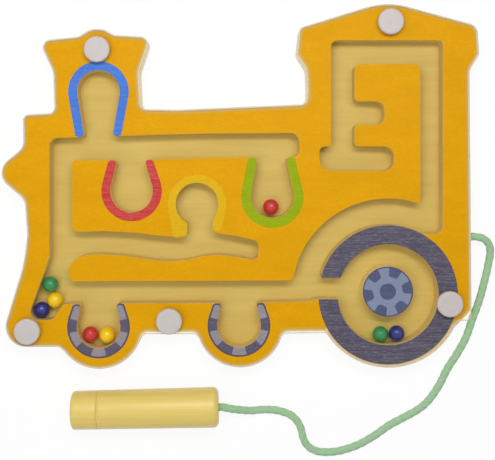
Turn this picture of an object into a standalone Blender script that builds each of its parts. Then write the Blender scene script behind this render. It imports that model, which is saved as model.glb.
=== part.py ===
"""Magnetic maze board in the outline of a small steam locomotive.

The board lies on its back with its face up: +X is the engine's rear, +Y its roof, and z = 0 the
underside of the back. Three layers make the board: a thin back, a thick plate whose channels are cut
right through, and a clear cover held by capped screws. Steel balls lie in the channels, and a wooden
wand with a magnet in its tip is tied to the board's edge with a cord.
"""
import math

import bmesh
import bpy
from mathutils import Vector

# Board
BOARD_LENGTH = 0.2964
BOARD_WIDTH = 0.2264
BACK_THICKNESS = 0.003
PLATE_THICKNESS = 0.0115
COVER_THICKNESS = 0.002
LAYER_GAP = 0.0003
COVER_LIP = 0.0013
COVER_SIZE_SHARE = 0.996
SMALL_WHEEL_RADIUS = 0.027
LARGE_WHEEL_RADIUS = 0.0459
ROUND_ANGLE = math.radians(14)
ROUND_CHORD = 0.007

# Balls and what they run in
BALL_DIAMETER = 0.010
BALL_GAP = 0.0003
KEYHOLE_PLAY = 0.0032
POCKET_PLAY = 0.0035
HUB_RADIUS = 0.0159
HUB_PLAY = 0.0054
RING_WALL = 0.0122
CURVE_PLAY = 0.0064
MOUTH_FILLET = 0.0024

# Screws, the washers they clamp and the caps snapped over them
CAP_DIAMETER = 0.016
CAP_HEIGHT = 0.0036
CAP_WALL = 0.001
CAP_EDGE = 0.0014
WASHER_DIAMETER = 0.0124
WASHER_THICKNESS = 0.0008
SCREW_HEAD_DIAMETER = 0.0068
SCREW_HEAD_HEIGHT = 0.0012
SCREW_SHANK_DIAMETER = 0.003
SCREW_TIP = 0.002
SCREW_BITE = 0.009
SCREW_CLEARANCE = 0.0003

# Wand
WAND_LENGTH = 0.0916
WAND_TIP_RADIUS = 0.0118
WAND_REAR_RADIUS = 0.0124
WAND_TIP_LENGTH = 0.0163
WAND_TIP_ROUND = 0.0018
WAND_REAR_ROUND = 0.0036
WAND_TIP_WALL = 0.0025
SEAM_CHAMFER = 0.0004
MAGNET_RADIUS = 0.0072
MAGNET_THICKNESS = 0.006
WAND_GAP = 0.0003

# Cord
CORD_DIAMETER = 0.005
CORD_BORE_DEPTH = 0.008
CORD_END_GAP = 0.0003
CORD_STEP = 0.0046
CORD_LIFT = 0.00002

# Places on the board: shares of BOARD_LENGTH and BOARD_WIDTH from the middle of the board, and where
# there is a third number, the corner's rounding as a share of BOARD_WIDTH.
ROOF_SHARES = [
    (-0.3926, 0.2024, 0.0171), (-0.3954, 0.3150, 0.0607), (-0.4264, 0.4016, 0.0228),
    (-0.3432, 0.4124, 0.0330), (-0.3151, 0.4346, 0.0480), (-0.2880, 0.4330, 0.0480),
    (-0.2687, 0.4173, 0.0274), (-0.1906, 0.4113, 0.0209), (-0.2151, 0.3137, 0.0693),
    (-0.2108, 0.2131, 0.0180), (-0.1374, 0.2110, 0.1653), (0.1387, 0.2265, 0.0197),
    (0.1389, 0.2765, 0.1653), (0.1368, 0.3219, 0.0329), (0.1170, 0.3631, 0.0205),
    (0.1227, 0.4369, 0.0206), (0.3070, 0.5112, 0.2125), (0.4975, 0.4433, 0.0292),
    (0.5017, 0.3642, 0.0167), (0.4811, 0.3191, 0.0424),
]
REAR_CORNER_SHARES = [(0.4853, -0.3139, 0.0248)]
COVER_REAR_CORNER_SHARES = [(0.4853, -0.3711, 0.0138), (0.4540, -0.3711, 0.0083)]
LARGE_WHEEL_SHARES = (0.3108, -0.2972)
LARGE_WHEEL_LEAVES_SHARES = (0.4497, -0.3818)
STRIP_BEHIND_SHARES = [(0.1770, -0.3990, 0.0139), (0.0880, -0.4002, 0.0200)]
MIDDLE_WHEEL_SHARES = (-0.0020, -0.3800)
STRIP_BEFORE_SHARES = [(-0.0940, -0.4018, 0.0194), (-0.2065, -0.4018, 0.0193)]
FRONT_WHEEL_SHARES = (-0.2988, -0.3841)
FRONT_SHARES = [
    (-0.3834, -0.4429, 0.0173), (-0.5108, -0.4424, 0.0566), (-0.4576, -0.2143, 0.4131),
    (-0.4500, -0.1343, 0.1655), (-0.4556, -0.0376, 0.0408), (-0.5233, 0.0380, 0.0455),
    (-0.4580, 0.1077, 0.0395), (-0.4598, 0.1970, 0.0169),
]

# The channels, as one closed wall that is followed round from the top left corner.
START_SHARES = [(-0.4032, 0.1331, 0.0220)]
BLUE_MOUTH_SHARES = [(-0.3295, 0.1350), (-0.2706, 0.1375)]
BLUE_HEAD_SHARES = (-0.3001, 0.2612)
BOILER_TOP_SHARES = [
    (-0.1917, 0.1413, 0.1653), (-0.0654, 0.1452, 0.1653), (0.1223, 0.1468, 0.0248),
    (0.1223, 0.0802, 0.0220),
]
GREEN_MOUTH_SHARES = [(0.0934, 0.0799), (0.0345, 0.0799)]
GREEN_HEAD_SHARES = (0.0659, -0.0287)
BOILER_LOW_SHARES = [(-0.0654, 0.0793, 0.1653), (-0.1601, 0.0752, 0.1653)]
RED_MOUTH_SHARES = [(-0.2033, 0.0736), (-0.2612, 0.0725)]
RED_HEAD_SHARES = (-0.2304, -0.0129)
ISLAND_SHARES = [
    (-0.3559, 0.0719, 0.0110), (-0.3559, -0.1264, 0.0193), (-0.2894, -0.1237, 0.1653),
    (-0.2222, -0.1281, 0.1653), (-0.1719, -0.1366, 0.1653), (-0.1315, -0.1394, 0.0826),
]
MIDDLE_MOUTH_SHARES = [(-0.1132, -0.1402), (-0.0596, -0.1267)]
MIDDLE_HEAD_SHARES = (-0.0928, -0.0490)
LONG_ISLAND_SHARES = [
    (-0.0444, -0.1303, 0.0551), (-0.0040, -0.1386, 0.0826), (0.0362, -0.1515, 0.0165),
    (0.0362, -0.2047, 0.0138), (-0.0107, -0.1942, 0.1102), (-0.0444, -0.1884, 0.0826),
    (-0.0781, -0.1917, 0.0826), (-0.1115, -0.2025, 0.1102), (-0.1450, -0.2069, 0.1653),
    (-0.1886, -0.2028, 0.1653), (-0.2388, -0.1920, 0.1653), (-0.2927, -0.1865, 0.1653),
    (-0.3262, -0.1893, 0.0826), (-0.3474, -0.1983, 0.0275), (-0.3615, -0.2196, 0.0193),
    (-0.3605, -0.2623, 0.0138),
]
CURVE_START_SHARES = [(0.1054, -0.2598, 0.0083)]
CAB_SHARES = [
    (0.3779, -0.0504, 0.0055), (0.3779, 0.3369, 0.0179), (0.2386, 0.3369, 0.0165),
    (0.2386, 0.2339, 0.0110), (0.3018, 0.2339, 0.0248), (0.3018, 0.1700, 0.0248),
    (0.2386, 0.1700, 0.0110), (0.2386, 0.1099, 0.0110), (0.3218, 0.1096, 0.0275),
    (0.3218, 0.0433, 0.0275), (0.1654, 0.0433, 0.0331), (0.1654, 0.1096, 0.0331),
    (0.1898, 0.1096, 0.0055), (0.1898, 0.4019, 0.0165), (0.4245, 0.4019, 0.0110),
    (0.4245, -0.1306, 0.0193), (0.3824, -0.1306, 0.0041),
]
RING_SHARES = (0.3096, -0.2986)
HUB_SHARES = (0.3089, -0.2901)
RING_END_SHARES = [(0.1679, -0.2526, 0.0083), (0.2098, -0.2526, 0.0041)]
RING_LOW_END_SHARES = [(0.2041, -0.3105, 0.0041), (0.1587, -0.3105, 0.0055), (0.1492, -0.3168, 0.0110)]
MIDDLE_POCKET_MOUTH_SHARES = [(0.0314, -0.3204), (-0.0412, -0.3215)]
MIDDLE_POCKET_SHARES = (-0.0044, -0.3835)
FRONT_POCKET_MOUTH_SHARES = [(-0.2639, -0.3220), (-0.3363, -0.3240)]
FRONT_POCKET_SHARES = (-0.2999, -0.3876)
FOOT_SHARES = [
    (-0.3756, -0.3253, 0.0110), (-0.3969, -0.3691, 0.0220), (-0.4508, -0.3691, 0.0262),
    (-0.4032, -0.1967, 0.0689),
]

SCREW_SHARES = [
    (-0.3013, 0.3752), (0.3128, 0.4511), (-0.4471, -0.3970), (-0.1506, -0.3692), (0.4363, -0.3218),
]

# Where the balls rest
FOOT_BALL_SHARES = (-0.4055, -0.2734)
FOOT_ROW_ANGLES = (math.radians(-73.7), math.radians(-143.7))
POCKET_BALL_ANGLE = math.radians(-136.7)
POCKET_ROW_ANGLE = math.radians(-3)
RING_BALL_ANGLE = math.radians(-98.5)
KEYHOLE_BALL_SHARES = (0.0634, -0.0579)
WALL_PUSHES = 12

# Wand and cord. Route points have a third number: the height of the cord's middle, as a share of the
# way from lying on the table up to the hole that it leaves or enters.
WAND_REAR_SHARES = (-0.0472, -0.6109)
WAND_TIP_SHARES = (-0.3617, -0.6206)
CORD_EXIT_SHARE = -0.1405
ROUTE_FROM_BOARD_SHARES = [
    (0.4965, -0.1404, 0.98), (0.5151, -0.1457, 0.84), (0.5287, -0.1611, 0.56),
    (0.5344, -0.1837, 0.26), (0.5314, -0.2222, 0.01),
]
ROUTE_ON_TABLE_SHARES = [
    (0.5224, -0.2738), (0.5116, -0.3248), (0.4975, -0.3744), (0.4844, -0.4245), (0.4652, -0.4710),
    (0.4434, -0.5155), (0.4251, -0.5627), (0.4017, -0.6058), (0.3786, -0.6309), (0.3432, -0.6564),
    (0.3166, -0.6753), (0.2834, -0.7055), (0.2479, -0.7308), (0.2093, -0.7462), (0.1792, -0.7492),
    (0.1598, -0.7448), (0.1440, -0.7323), (0.1345, -0.7120), (0.1286, -0.6808), (0.1187, -0.6582),
    (0.1031, -0.6420), (0.0743, -0.6309),
]
ROUTE_TO_WAND_SHARES = [
    (0.0441, -0.6295, 0.03), (0.0194, -0.6306, 0.16), (-0.0156, -0.6203, 0.7),
    (-0.0333, -0.6132, 0.93),
]

BOARD_NAME = "magnetic_maze_board"
PLATE_BOTTOM = BACK_THICKNESS + LAYER_GAP
PLATE_TOP = PLATE_BOTTOM + PLATE_THICKNESS
COVER_BOTTOM = PLATE_TOP + LAYER_GAP
COVER_TOP = COVER_BOTTOM + COVER_THICKNESS
BALL_RADIUS = BALL_DIAMETER / 2
KEYHOLE_RADIUS = BALL_DIAMETER + KEYHOLE_PLAY
POCKET_RADIUS = BALL_DIAMETER + POCKET_PLAY
RING_RADIUS = HUB_RADIUS + BALL_DIAMETER + HUB_PLAY
RING_OUTER_RADIUS = RING_RADIUS + RING_WALL
CURVE_RADIUS = RING_OUTER_RADIUS + BALL_DIAMETER + CURVE_PLAY
CORD_RADIUS = CORD_DIAMETER / 2
BORE_RADIUS = CORD_RADIUS + CORD_END_GAP
CORD_EXIT_HEIGHT = PLATE_BOTTOM + PLATE_THICKNESS / 2


def at(shares):
    """The point on the board that a pair of shares names."""
    return Vector((shares[0] * BOARD_LENGTH, shares[1] * BOARD_WIDTH))


def corners(table):
    return [(at(row), row[2] * BOARD_WIDTH) for row in table]


def arc(centre, radius, start, sweep, trim=0.0):
    """Points along an arc, left out within a length of trim from both of its ends."""
    start += math.copysign(trim / radius, sweep)
    sweep -= math.copysign(2 * trim / radius, sweep)
    steps = max(2, math.ceil(abs(sweep) / ROUND_ANGLE), math.ceil(abs(sweep) * radius / ROUND_CHORD))
    angles = [start + sweep * i / steps for i in range(steps + 1)]
    return [centre + radius * Vector((math.cos(a), math.sin(a))) for a in angles]


def bearing(centre, point):
    return math.atan2(point.y - centre.y, point.x - centre.x)


def sweep_past(start, end, past):
    """The turn from start to end, in radians, that goes past a third angle."""
    turn = (end - start) % math.tau
    if (past - start) % math.tau > turn:
        turn -= math.tau
    return turn


def wall_arc(centre, radius, first, last, past, trim=0.0):
    """An arc of a wall between the bearings of two points, as sharp corners."""
    start = bearing(centre, first)
    turn = sweep_past(start, bearing(centre, last), past)
    return [(point, 0.0) for point in arc(centre, radius, start, turn, trim)]


def tangent_bearing(centre, radius, point, other):
    """Where the straight wall from a point meets a circle, on the side away from the other point."""
    reach = (point - centre).length
    spread = math.acos(min(1.0, radius / reach))
    base = bearing(centre, point)
    choices = [base + spread, base - spread]
    ends = [centre + radius * Vector((math.cos(a), math.sin(a))) for a in choices]
    return choices[0] if (ends[0] - other).length > (ends[1] - other).length else choices[1]


def keyhole(mouth, head, radius, fillet):
    """A round bay with straight cheeks, from one corner of its mouth to the other."""
    first, last = at(mouth[0]), at(mouth[1])
    centre = at(head)
    start = tangent_bearing(centre, radius, first, last)
    end = tangent_bearing(centre, radius, last, first)
    far = bearing(centre, centre * 2 - (first + last) / 2)
    turn = sweep_past(start, end, far)
    bay = [(point, 0.0) for point in arc(centre, radius, start, turn)]
    return [(first, fillet)] + bay + [(last, fillet)]


def necked_keyhole(mouth, head, radius, fillet):
    """A round bay whose narrow neck runs straight up to it."""
    first, last = at(mouth[0]), at(mouth[1])
    centre = at(head)
    joins = []
    for corner in (first, last):
        aside = corner.x - centre.x
        drop = math.sqrt(max(0.0, radius ** 2 - aside ** 2))
        joins.append(Vector((corner.x, centre.y - drop)))
    far = bearing(centre, centre * 2 - (first + last) / 2)
    return [(first, fillet)] + wall_arc(centre, radius, joins[0], joins[1], far) + [(last, fillet)]


def rounded(outline):
    """The outline's points, with each corner turned into an arc of its own radius."""
    points = []
    count = len(outline)
    for i, (corner, radius) in enumerate(outline):
        if radius == 0:
            points.append(corner)
            continue
        before, before_radius = outline[i - 1]
        after, after_radius = outline[(i + 1) % count]
        back, ahead = before - corner, after - corner
        half = back.angle(ahead) / 2
        reach = radius / math.tan(half)
        back_room = back.length * (0.48 if before_radius else 0.9)
        ahead_room = ahead.length * (0.48 if after_radius else 0.9)
        reach = min(reach, back_room, ahead_room)
        radius = reach * math.tan(half)
        middle = corner + (back.normalized() + ahead.normalized()).normalized() * (radius / math.sin(half))
        first = corner + back.normalized() * reach
        last = corner + ahead.normalized() * reach
        start = bearing(middle, first)
        turn = sweep_past(start, bearing(middle, last), bearing(middle, corner))
        points += arc(middle, radius, start, turn)
    return points


def engine_outline(rear_corner, lip):
    """The locomotive's outline, round from the chimney to the front. The lip widens its low strips."""
    down = Vector((0, -lip))
    behind = [(point + down, radius) for point, radius in corners(STRIP_BEHIND_SHARES)]
    before = [(point + down, radius) for point, radius in corners(STRIP_BEFORE_SHARES)]
    front = corners(FRONT_SHARES)
    below = math.radians(-90)
    large = wall_arc(at(LARGE_WHEEL_SHARES), LARGE_WHEEL_RADIUS, at(LARGE_WHEEL_LEAVES_SHARES),
                     behind[0][0], below, behind[0][1] / 2)
    middle = wall_arc(at(MIDDLE_WHEEL_SHARES), SMALL_WHEEL_RADIUS, behind[-1][0], before[0][0],
                      below, before[0][1])
    small = wall_arc(at(FRONT_WHEEL_SHARES), SMALL_WHEEL_RADIUS, before[-1][0], front[0][0],
                     below, before[0][1])
    return rounded(corners(ROOF_SHARES) + corners(rear_corner) + large + behind + middle + before
                   + small + front)


def channel_outline():
    """The wall of the channels, one closed line."""
    ring = at(RING_SHARES)
    curve_start = corners(CURVE_START_SHARES)
    cab = corners(CAB_SHARES)
    ring_end = corners(RING_END_SHARES)
    low_end = corners(RING_LOW_END_SHARES)
    above, beside = math.radians(90), 0.0
    wall = corners(START_SHARES)
    wall += keyhole(BLUE_MOUTH_SHARES, BLUE_HEAD_SHARES, KEYHOLE_RADIUS, MOUTH_FILLET)
    wall += corners(BOILER_TOP_SHARES)
    wall += keyhole(GREEN_MOUTH_SHARES, GREEN_HEAD_SHARES, KEYHOLE_RADIUS, MOUTH_FILLET)
    wall += corners(BOILER_LOW_SHARES)
    wall += keyhole(RED_MOUTH_SHARES, RED_HEAD_SHARES, KEYHOLE_RADIUS, MOUTH_FILLET)
    wall += corners(ISLAND_SHARES)
    wall += necked_keyhole(MIDDLE_MOUTH_SHARES, MIDDLE_HEAD_SHARES, KEYHOLE_RADIUS, MOUTH_FILLET)
    wall += corners(LONG_ISLAND_SHARES) + curve_start
    wall += wall_arc(ring, CURVE_RADIUS, curve_start[0][0], cab[0][0], above, curve_start[0][1])
    wall += cab
    wall += wall_arc(ring, RING_OUTER_RADIUS, cab[-1][0], ring_end[0][0], above, ring_end[0][1])
    wall += ring_end
    wall += wall_arc(ring, RING_RADIUS, ring_end[-1][0], low_end[0][0], beside, ring_end[-1][1])
    wall += low_end
    wall += keyhole(MIDDLE_POCKET_MOUTH_SHARES, MIDDLE_POCKET_SHARES, POCKET_RADIUS, MOUTH_FILLET)
    wall += keyhole(FRONT_POCKET_MOUTH_SHARES, FRONT_POCKET_SHARES, POCKET_RADIUS, MOUTH_FILLET)
    wall += corners(FOOT_SHARES)
    return rounded(wall)


def circle(centre, radius):
    return arc(centre, radius, 0.0, math.tau)[:-1]


def material(name, colour, roughness, metallic=0.0, alpha=1.0):
    made = bpy.data.materials.new(name)
    made.use_nodes = True
    shader = made.node_tree.nodes["Principled BSDF"]
    shader.inputs["Base Color"].default_value = (*colour, 1.0)
    shader.inputs["Roughness"].default_value = roughness
    shader.inputs["Metallic"].default_value = metallic
    shader.inputs["Alpha"].default_value = alpha
    return made


def add(collection, name, data, finish, place=(0, 0, 0)):
    made = bpy.data.objects.new(name, data)
    made.location = place
    if finish:
        data.materials.append(finish)
    collection.objects.link(made)
    return made


def flat_curve(name, outlines, thickness):
    data = bpy.data.curves.new(name, "CURVE")
    data.dimensions = "2D"
    data.fill_mode = "BOTH"
    data.extrude = thickness / 2
    for outline in outlines:
        spline = data.splines.new("POLY")
        spline.points.add(len(outline) - 1)
        for point, place in zip(spline.points, outline):
            point.co = (place.x, place.y, 0, 1)
        spline.use_cyclic_u = True
    return data


def flat_piece(collection, name, outlines, bottom, thickness, finish):
    """A sheet cut to an outline and its holes, made from a filled curve and then welded."""
    guide = add(collection, name + "_outline", flat_curve(name, outlines, thickness), None,
                (0, 0, bottom + thickness / 2))
    bpy.context.view_layer.update()
    mesh = bpy.data.meshes.new_from_object(guide.evaluated_get(bpy.context.evaluated_depsgraph_get()))
    weld(mesh)
    piece = add(collection, name, mesh, finish)
    piece.matrix_world = guide.matrix_world.copy()
    bpy.data.objects.remove(guide, do_unlink=True)
    return piece


def weld(mesh):
    shape = bmesh.new()
    shape.from_mesh(mesh)
    bmesh.ops.remove_doubles(shape, verts=shape.verts, dist=LAYER_GAP / 100)
    bmesh.ops.recalc_face_normals(shape, faces=shape.faces)
    shape.to_mesh(mesh)
    shape.free()


def cut(piece, cutter):
    cutter.hide_render = True
    cutter.display_type = "WIRE"
    bore = piece.modifiers.new("bore", "BOOLEAN")
    bore.operation = "DIFFERENCE"
    bore.solver = "EXACT"
    bore.object = cutter


def turned(name, profile, steps, closed=False):
    """A mesh line that a Screw modifier turns round its z axis."""
    mesh = bpy.data.meshes.new(name)
    edges = [(i, i + 1) for i in range(len(profile) - 1)]
    if closed:
        edges.append((len(profile) - 1, 0))
    mesh.from_pydata([(x, 0, z) for x, z in profile], edges, [])
    mesh["steps"] = steps
    return mesh


def turn(piece):
    screw = piece.modifiers.new("turned", "SCREW")
    screw.axis = "Z"
    screw.steps = piece.data["steps"]
    screw.render_steps = piece.data["steps"]
    screw.use_merge_vertices = True
    screw.merge_threshold = LAYER_GAP / 30
    screw.use_smooth_shade = True
    return piece


def rounded_edge(radius, z, round_radius, steps, upper):
    """The points of a turned profile's rounded outer edge, from the top down."""
    span = range(steps + 1)
    quarter = math.pi / 2
    if upper:
        return [(radius - round_radius + round_radius * math.sin(quarter * i / steps),
                 z - round_radius + round_radius * math.cos(quarter * i / steps)) for i in span]
    return [(radius - round_radius + round_radius * math.cos(quarter * i / steps),
             z + round_radius - round_radius * math.sin(quarter * i / steps)) for i in span]


def make_board(collection, cutters, finishes):
    bore_radius = SCREW_SHANK_DIAMETER / 2 + SCREW_CLEARANCE
    bores = [circle(at(place), bore_radius) for place in SCREW_SHARES]
    board = engine_outline(REAR_CORNER_SHARES, 0.0)
    cover = [point * COVER_SIZE_SHARE for point in engine_outline(COVER_REAR_CORNER_SHARES, COVER_LIP)]
    flat_piece(collection, "back_board", [board], 0.0, BACK_THICKNESS, finishes["plywood"])
    plate = flat_piece(collection, "maze_plate", [board, channel_outline()] + bores, PLATE_BOTTOM,
                       PLATE_THICKNESS, finishes["yellow_face"])
    flat_piece(collection, "wheel_hub", [circle(at(HUB_SHARES), HUB_RADIUS)], PLATE_BOTTOM,
               PLATE_THICKNESS, finishes["grey_face"])
    flat_piece(collection, "clear_cover", [cover] + bores, COVER_BOTTOM, COVER_THICKNESS,
               finishes["acrylic"])
    shape = bmesh.new()
    bmesh.ops.create_cone(shape, cap_ends=True, segments=16, radius1=BORE_RADIUS, radius2=BORE_RADIUS,
                          depth=CORD_BORE_DEPTH * 2)
    drill = bpy.data.meshes.new("cord_drill")
    shape.to_mesh(drill)
    shape.free()
    edge = REAR_CORNER_SHARES[0][0] * BOARD_LENGTH
    cutter = add(cutters, "cord_drill", drill, None, (edge, CORD_EXIT_SHARE * BOARD_WIDTH, CORD_EXIT_HEIGHT))
    cutter.rotation_euler = (0, math.radians(90), 0)
    cut(plate, cutter)


def make_fasteners(collection, finishes):
    base = COVER_TOP + LAYER_GAP
    washer_top = base + WASHER_THICKNESS
    head_bottom = washer_top + LAYER_GAP
    head_top = head_bottom + SCREW_HEAD_HEIGHT
    head, shank = SCREW_HEAD_DIAMETER / 2, SCREW_SHANK_DIAMETER / 2
    tip = COVER_BOTTOM - SCREW_BITE
    screw = [(0, head_top)] + rounded_edge(head, head_top, SCREW_HEAD_HEIGHT / 2, 3, True)
    screw += [(head, head_bottom), (shank, head_bottom), (shank, tip + SCREW_TIP), (0, tip)]
    inside = shank + SCREW_CLEARANCE
    outside = WASHER_DIAMETER / 2
    washer = [(outside, washer_top), (outside, base), (inside, base), (inside, washer_top)]
    cap, cap_top = CAP_DIAMETER / 2, base + CAP_HEIGHT
    inner, inner_top = cap - CAP_WALL, cap_top - CAP_WALL
    shell = [(0, cap_top)] + rounded_edge(cap, cap_top, CAP_EDGE, 4, True)
    shell += [(cap, base), (inner, base), (inner, inner_top), (0, inner_top)]
    screw_mesh = turned("cover_screw", screw, 16)
    washer_mesh = turned("cap_washer", washer, 20, closed=True)
    cap_mesh = turned("screw_cap", shell, 28)
    screw_mesh.materials.append(finishes["zinc_steel"])
    washer_mesh.materials.append(finishes["white_plastic"])
    cap_mesh.materials.append(finishes["white_plastic"])
    for number, shares in enumerate(SCREW_SHARES, start=1):
        place = (*at(shares), 0)
        turn(add(collection, f"cover_screw_{number}", screw_mesh, None, place))
        turn(add(collection, f"cap_washer_{number}", washer_mesh, None, place))
        turn(add(collection, f"screw_cap_{number}", cap_mesh, None, place))


def ball_mesh(name, finish):
    shape = bmesh.new()
    bmesh.ops.create_uvsphere(shape, u_segments=20, v_segments=10, radius=BALL_RADIUS)
    mesh = bpy.data.meshes.new(name)
    shape.to_mesh(mesh)
    shape.free()
    mesh.materials.append(finish)
    mesh.shade_smooth()
    return mesh


def nearest_on_wall(place, wall):
    """The point of a closed line that is nearest to a place."""
    spots = []
    for start, end in zip(wall, wall[1:] + wall[:1]):
        share = (place - start).dot(end - start) / (end - start).length_squared
        spots.append(start.lerp(end, max(0.0, min(1.0, share))))
    return min(spots, key=lambda spot: (place - spot).length)


def clear_of_wall(row, wall):
    """A row of balls, moved together until each of them clears the wall."""
    for _ in range(WALL_PUSHES):
        pushes = []
        for place in row:
            away = place - nearest_on_wall(place, wall)
            pushes.append(away.normalized() * max(0.0, BALL_RADIUS + BALL_GAP - away.length))
        push = max(pushes, key=lambda each: each.length)
        row = [place + push for place in row]
    return row


def make_balls(collection, finishes):
    meshes = {colour: ball_mesh(colour + "_ball", finishes[colour + "_ball"])
              for colour in ("green", "yellow", "blue", "red")}
    height = PLATE_BOTTOM + BALL_RADIUS
    spacing = BALL_DIAMETER + BALL_GAP

    def step(start, angle):
        return start + spacing * Vector((math.cos(angle), math.sin(angle)))

    def rest(centre, radius, angle):
        return centre + (radius - BALL_RADIUS - BALL_GAP) * Vector((math.cos(angle), math.sin(angle)))

    foot_green = at(FOOT_BALL_SHARES)
    foot_yellow = step(foot_green, FOOT_ROW_ANGLES[0])
    foot_blue = step(foot_yellow, FOOT_ROW_ANGLES[1])
    pocket_red = rest(at(FRONT_POCKET_SHARES), POCKET_RADIUS, POCKET_BALL_ANGLE)
    pocket_yellow = step(pocket_red, POCKET_ROW_ANGLE)
    rows = {
        ("ball_green_1", "ball_yellow_1", "ball_blue_1"): [foot_green, foot_yellow, foot_blue],
        ("ball_red_1", "ball_yellow_2"): [pocket_red, pocket_yellow],
        ("ball_red_2",): [at(KEYHOLE_BALL_SHARES)],
    }
    wall = channel_outline()
    for names, places in rows.items():
        for name, place in zip(names, clear_of_wall(places, wall)):
            add(collection, name, meshes[name.split("_")[1]], None, (*place, height))
    ring = at(RING_SHARES)
    run = RING_RADIUS - BALL_RADIUS - BALL_GAP
    apart = 2 * math.asin(spacing / (2 * run))
    for name, angle in (("ball_green_2", RING_BALL_ANGLE), ("ball_blue_2", RING_BALL_ANGLE + apart)):
        pivot = bpy.data.objects.new(name + "_run", None)
        pivot.location = (*ring, 0)
        collection.objects.link(pivot)
        ball = add(collection, name, meshes[name.split("_")[1]], None,
                   (run * math.cos(angle), run * math.sin(angle), height))
        ball.parent = pivot


def wand_radius(z):
    return WAND_TIP_RADIUS + (WAND_REAR_RADIUS - WAND_TIP_RADIUS) * z / WAND_LENGTH


def wand_frame():
    """The wand's tip and rear, its middle line low enough that both ends rest on the table."""
    tip, rear = at(WAND_TIP_SHARES), at(WAND_REAR_SHARES)
    along = (rear - tip).normalized()
    tip = rear - along * WAND_LENGTH
    return tip, rear, math.atan2(along.y, along.x)


def make_wand(collection, finishes):
    tip, rear, heading = wand_frame()
    rise = math.asin((WAND_REAR_RADIUS - WAND_TIP_RADIUS) / WAND_LENGTH)
    carrier = bpy.data.objects.new("wand_carrier", None)
    carrier.location = (*tip, WAND_TIP_RADIUS)
    carrier.rotation_euler = (0, math.radians(90) - rise, heading)
    collection.objects.link(carrier)
    seam = WAND_TIP_LENGTH
    cup_end = seam - WAND_GAP
    cavity = MAGNET_RADIUS + WAND_GAP
    magnet_low = WAND_TIP_WALL + WAND_GAP
    magnet_high = magnet_low + MAGNET_THICKNESS
    spigot_end = magnet_high + WAND_GAP
    cup = [(0, WAND_TIP_WALL), (cavity, WAND_TIP_WALL), (cavity, cup_end),
           (wand_radius(cup_end) - SEAM_CHAMFER, cup_end),
           (wand_radius(cup_end), cup_end - SEAM_CHAMFER)]
    cup += rounded_edge(wand_radius(0), 0.0, WAND_TIP_ROUND, 4, False) + [(0, 0)]
    bore_end = WAND_LENGTH - CORD_BORE_DEPTH
    handle = [(0, bore_end), (BORE_RADIUS, bore_end), (BORE_RADIUS, WAND_LENGTH)]
    handle += rounded_edge(wand_radius(WAND_LENGTH), WAND_LENGTH, WAND_REAR_ROUND, 6, True)
    handle += [(wand_radius(seam), seam + SEAM_CHAMFER), (wand_radius(seam) - SEAM_CHAMFER, seam),
               (MAGNET_RADIUS, seam), (MAGNET_RADIUS, spigot_end), (0, spigot_end)]
    magnet = [(0, magnet_high), (MAGNET_RADIUS, magnet_high), (MAGNET_RADIUS, magnet_low), (0, magnet_low)]
    for name, profile, finish in (("wand_tip", cup, "beech"), ("wand_handle", handle, "beech"),
                                  ("wand_magnet", magnet, "nickel")):
        piece = turn(add(collection, name, turned(name, profile, 32), finishes[finish]))
        piece.parent = carrier


def smooth_route(points, step):
    """Points at an even step along a smooth curve through the route's own points."""
    ends = [points[0] * 2 - points[1]] + points + [points[-1] * 2 - points[-2]]
    fine = []
    for p0, p1, p2, p3 in zip(ends, ends[1:], ends[2:], ends[3:]):
        for i in range(24):
            t = i / 24
            fine.append((p1 * 2 + (p2 - p0) * t + (p0 * 2 - p1 * 5 + p2 * 4 - p3) * t ** 2
                         + (p1 * 3 - p0 - p2 * 3 + p3) * t ** 3) / 2)
    fine.append(points[-1])
    lengths = [0.0]
    for before, after in zip(fine, fine[1:]):
        lengths.append(lengths[-1] + (after - before).length)
    count = round(lengths[-1] / step)
    even, at_index = [], 0
    for i in range(count + 1):
        target = lengths[-1] * i / count
        while at_index < len(fine) - 2 and lengths[at_index + 1] < target:
            at_index += 1
        span = lengths[at_index + 1] - lengths[at_index]
        even.append(fine[at_index].lerp(fine[at_index + 1], (target - lengths[at_index]) / span))
    return even, lengths[-1]


def make_cord(collection, finishes):
    tip, rear, heading = wand_frame()
    lying = CORD_RADIUS + CORD_LIFT
    edge = REAR_CORNER_SHARES[0][0] * BOARD_LENGTH
    start = Vector((edge - CORD_BORE_DEPTH + CORD_END_GAP, CORD_EXIT_SHARE * BOARD_WIDTH,
                    CORD_EXIT_HEIGHT))
    leaves = Vector((edge + CORD_RADIUS, start.y, CORD_EXIT_HEIGHT))
    along = Vector((math.cos(heading), math.sin(heading)))
    wand_height = WAND_REAR_RADIUS
    inside = rear - along * (CORD_BORE_DEPTH - CORD_END_GAP)
    route = [start, start.lerp(leaves, 0.5), leaves]
    for row in ROUTE_FROM_BOARD_SHARES:
        route.append(Vector((*at(row), lying + (CORD_EXIT_HEIGHT - lying) * row[2])))
    route += [Vector((*at(row), lying)) for row in ROUTE_ON_TABLE_SHARES]
    for row in ROUTE_TO_WAND_SHARES:
        route.append(Vector((*at(row), lying + (wand_height - lying) * row[2])))
    route += [Vector((*(rear + along * CORD_RADIUS / 2), wand_height)), Vector((*inside, wand_height))]
    points, length = smooth_route(route, CORD_STEP)
    data = bpy.data.curves.new("cord", "CURVE")
    data.dimensions = "3D"
    data.bevel_depth = CORD_RADIUS
    data.bevel_resolution = 2
    data.use_fill_caps = True
    spline = data.splines.new("POLY")
    spline.points.add(len(points) - 1)
    for point, place in zip(spline.points, points):
        point.co = (place.x, place.y, max(place.z, lying), 1)
    add(collection, "cord", data, finishes["cord_green"])
    print("cord length", round(length, 4), "with", len(points), "points")


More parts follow.
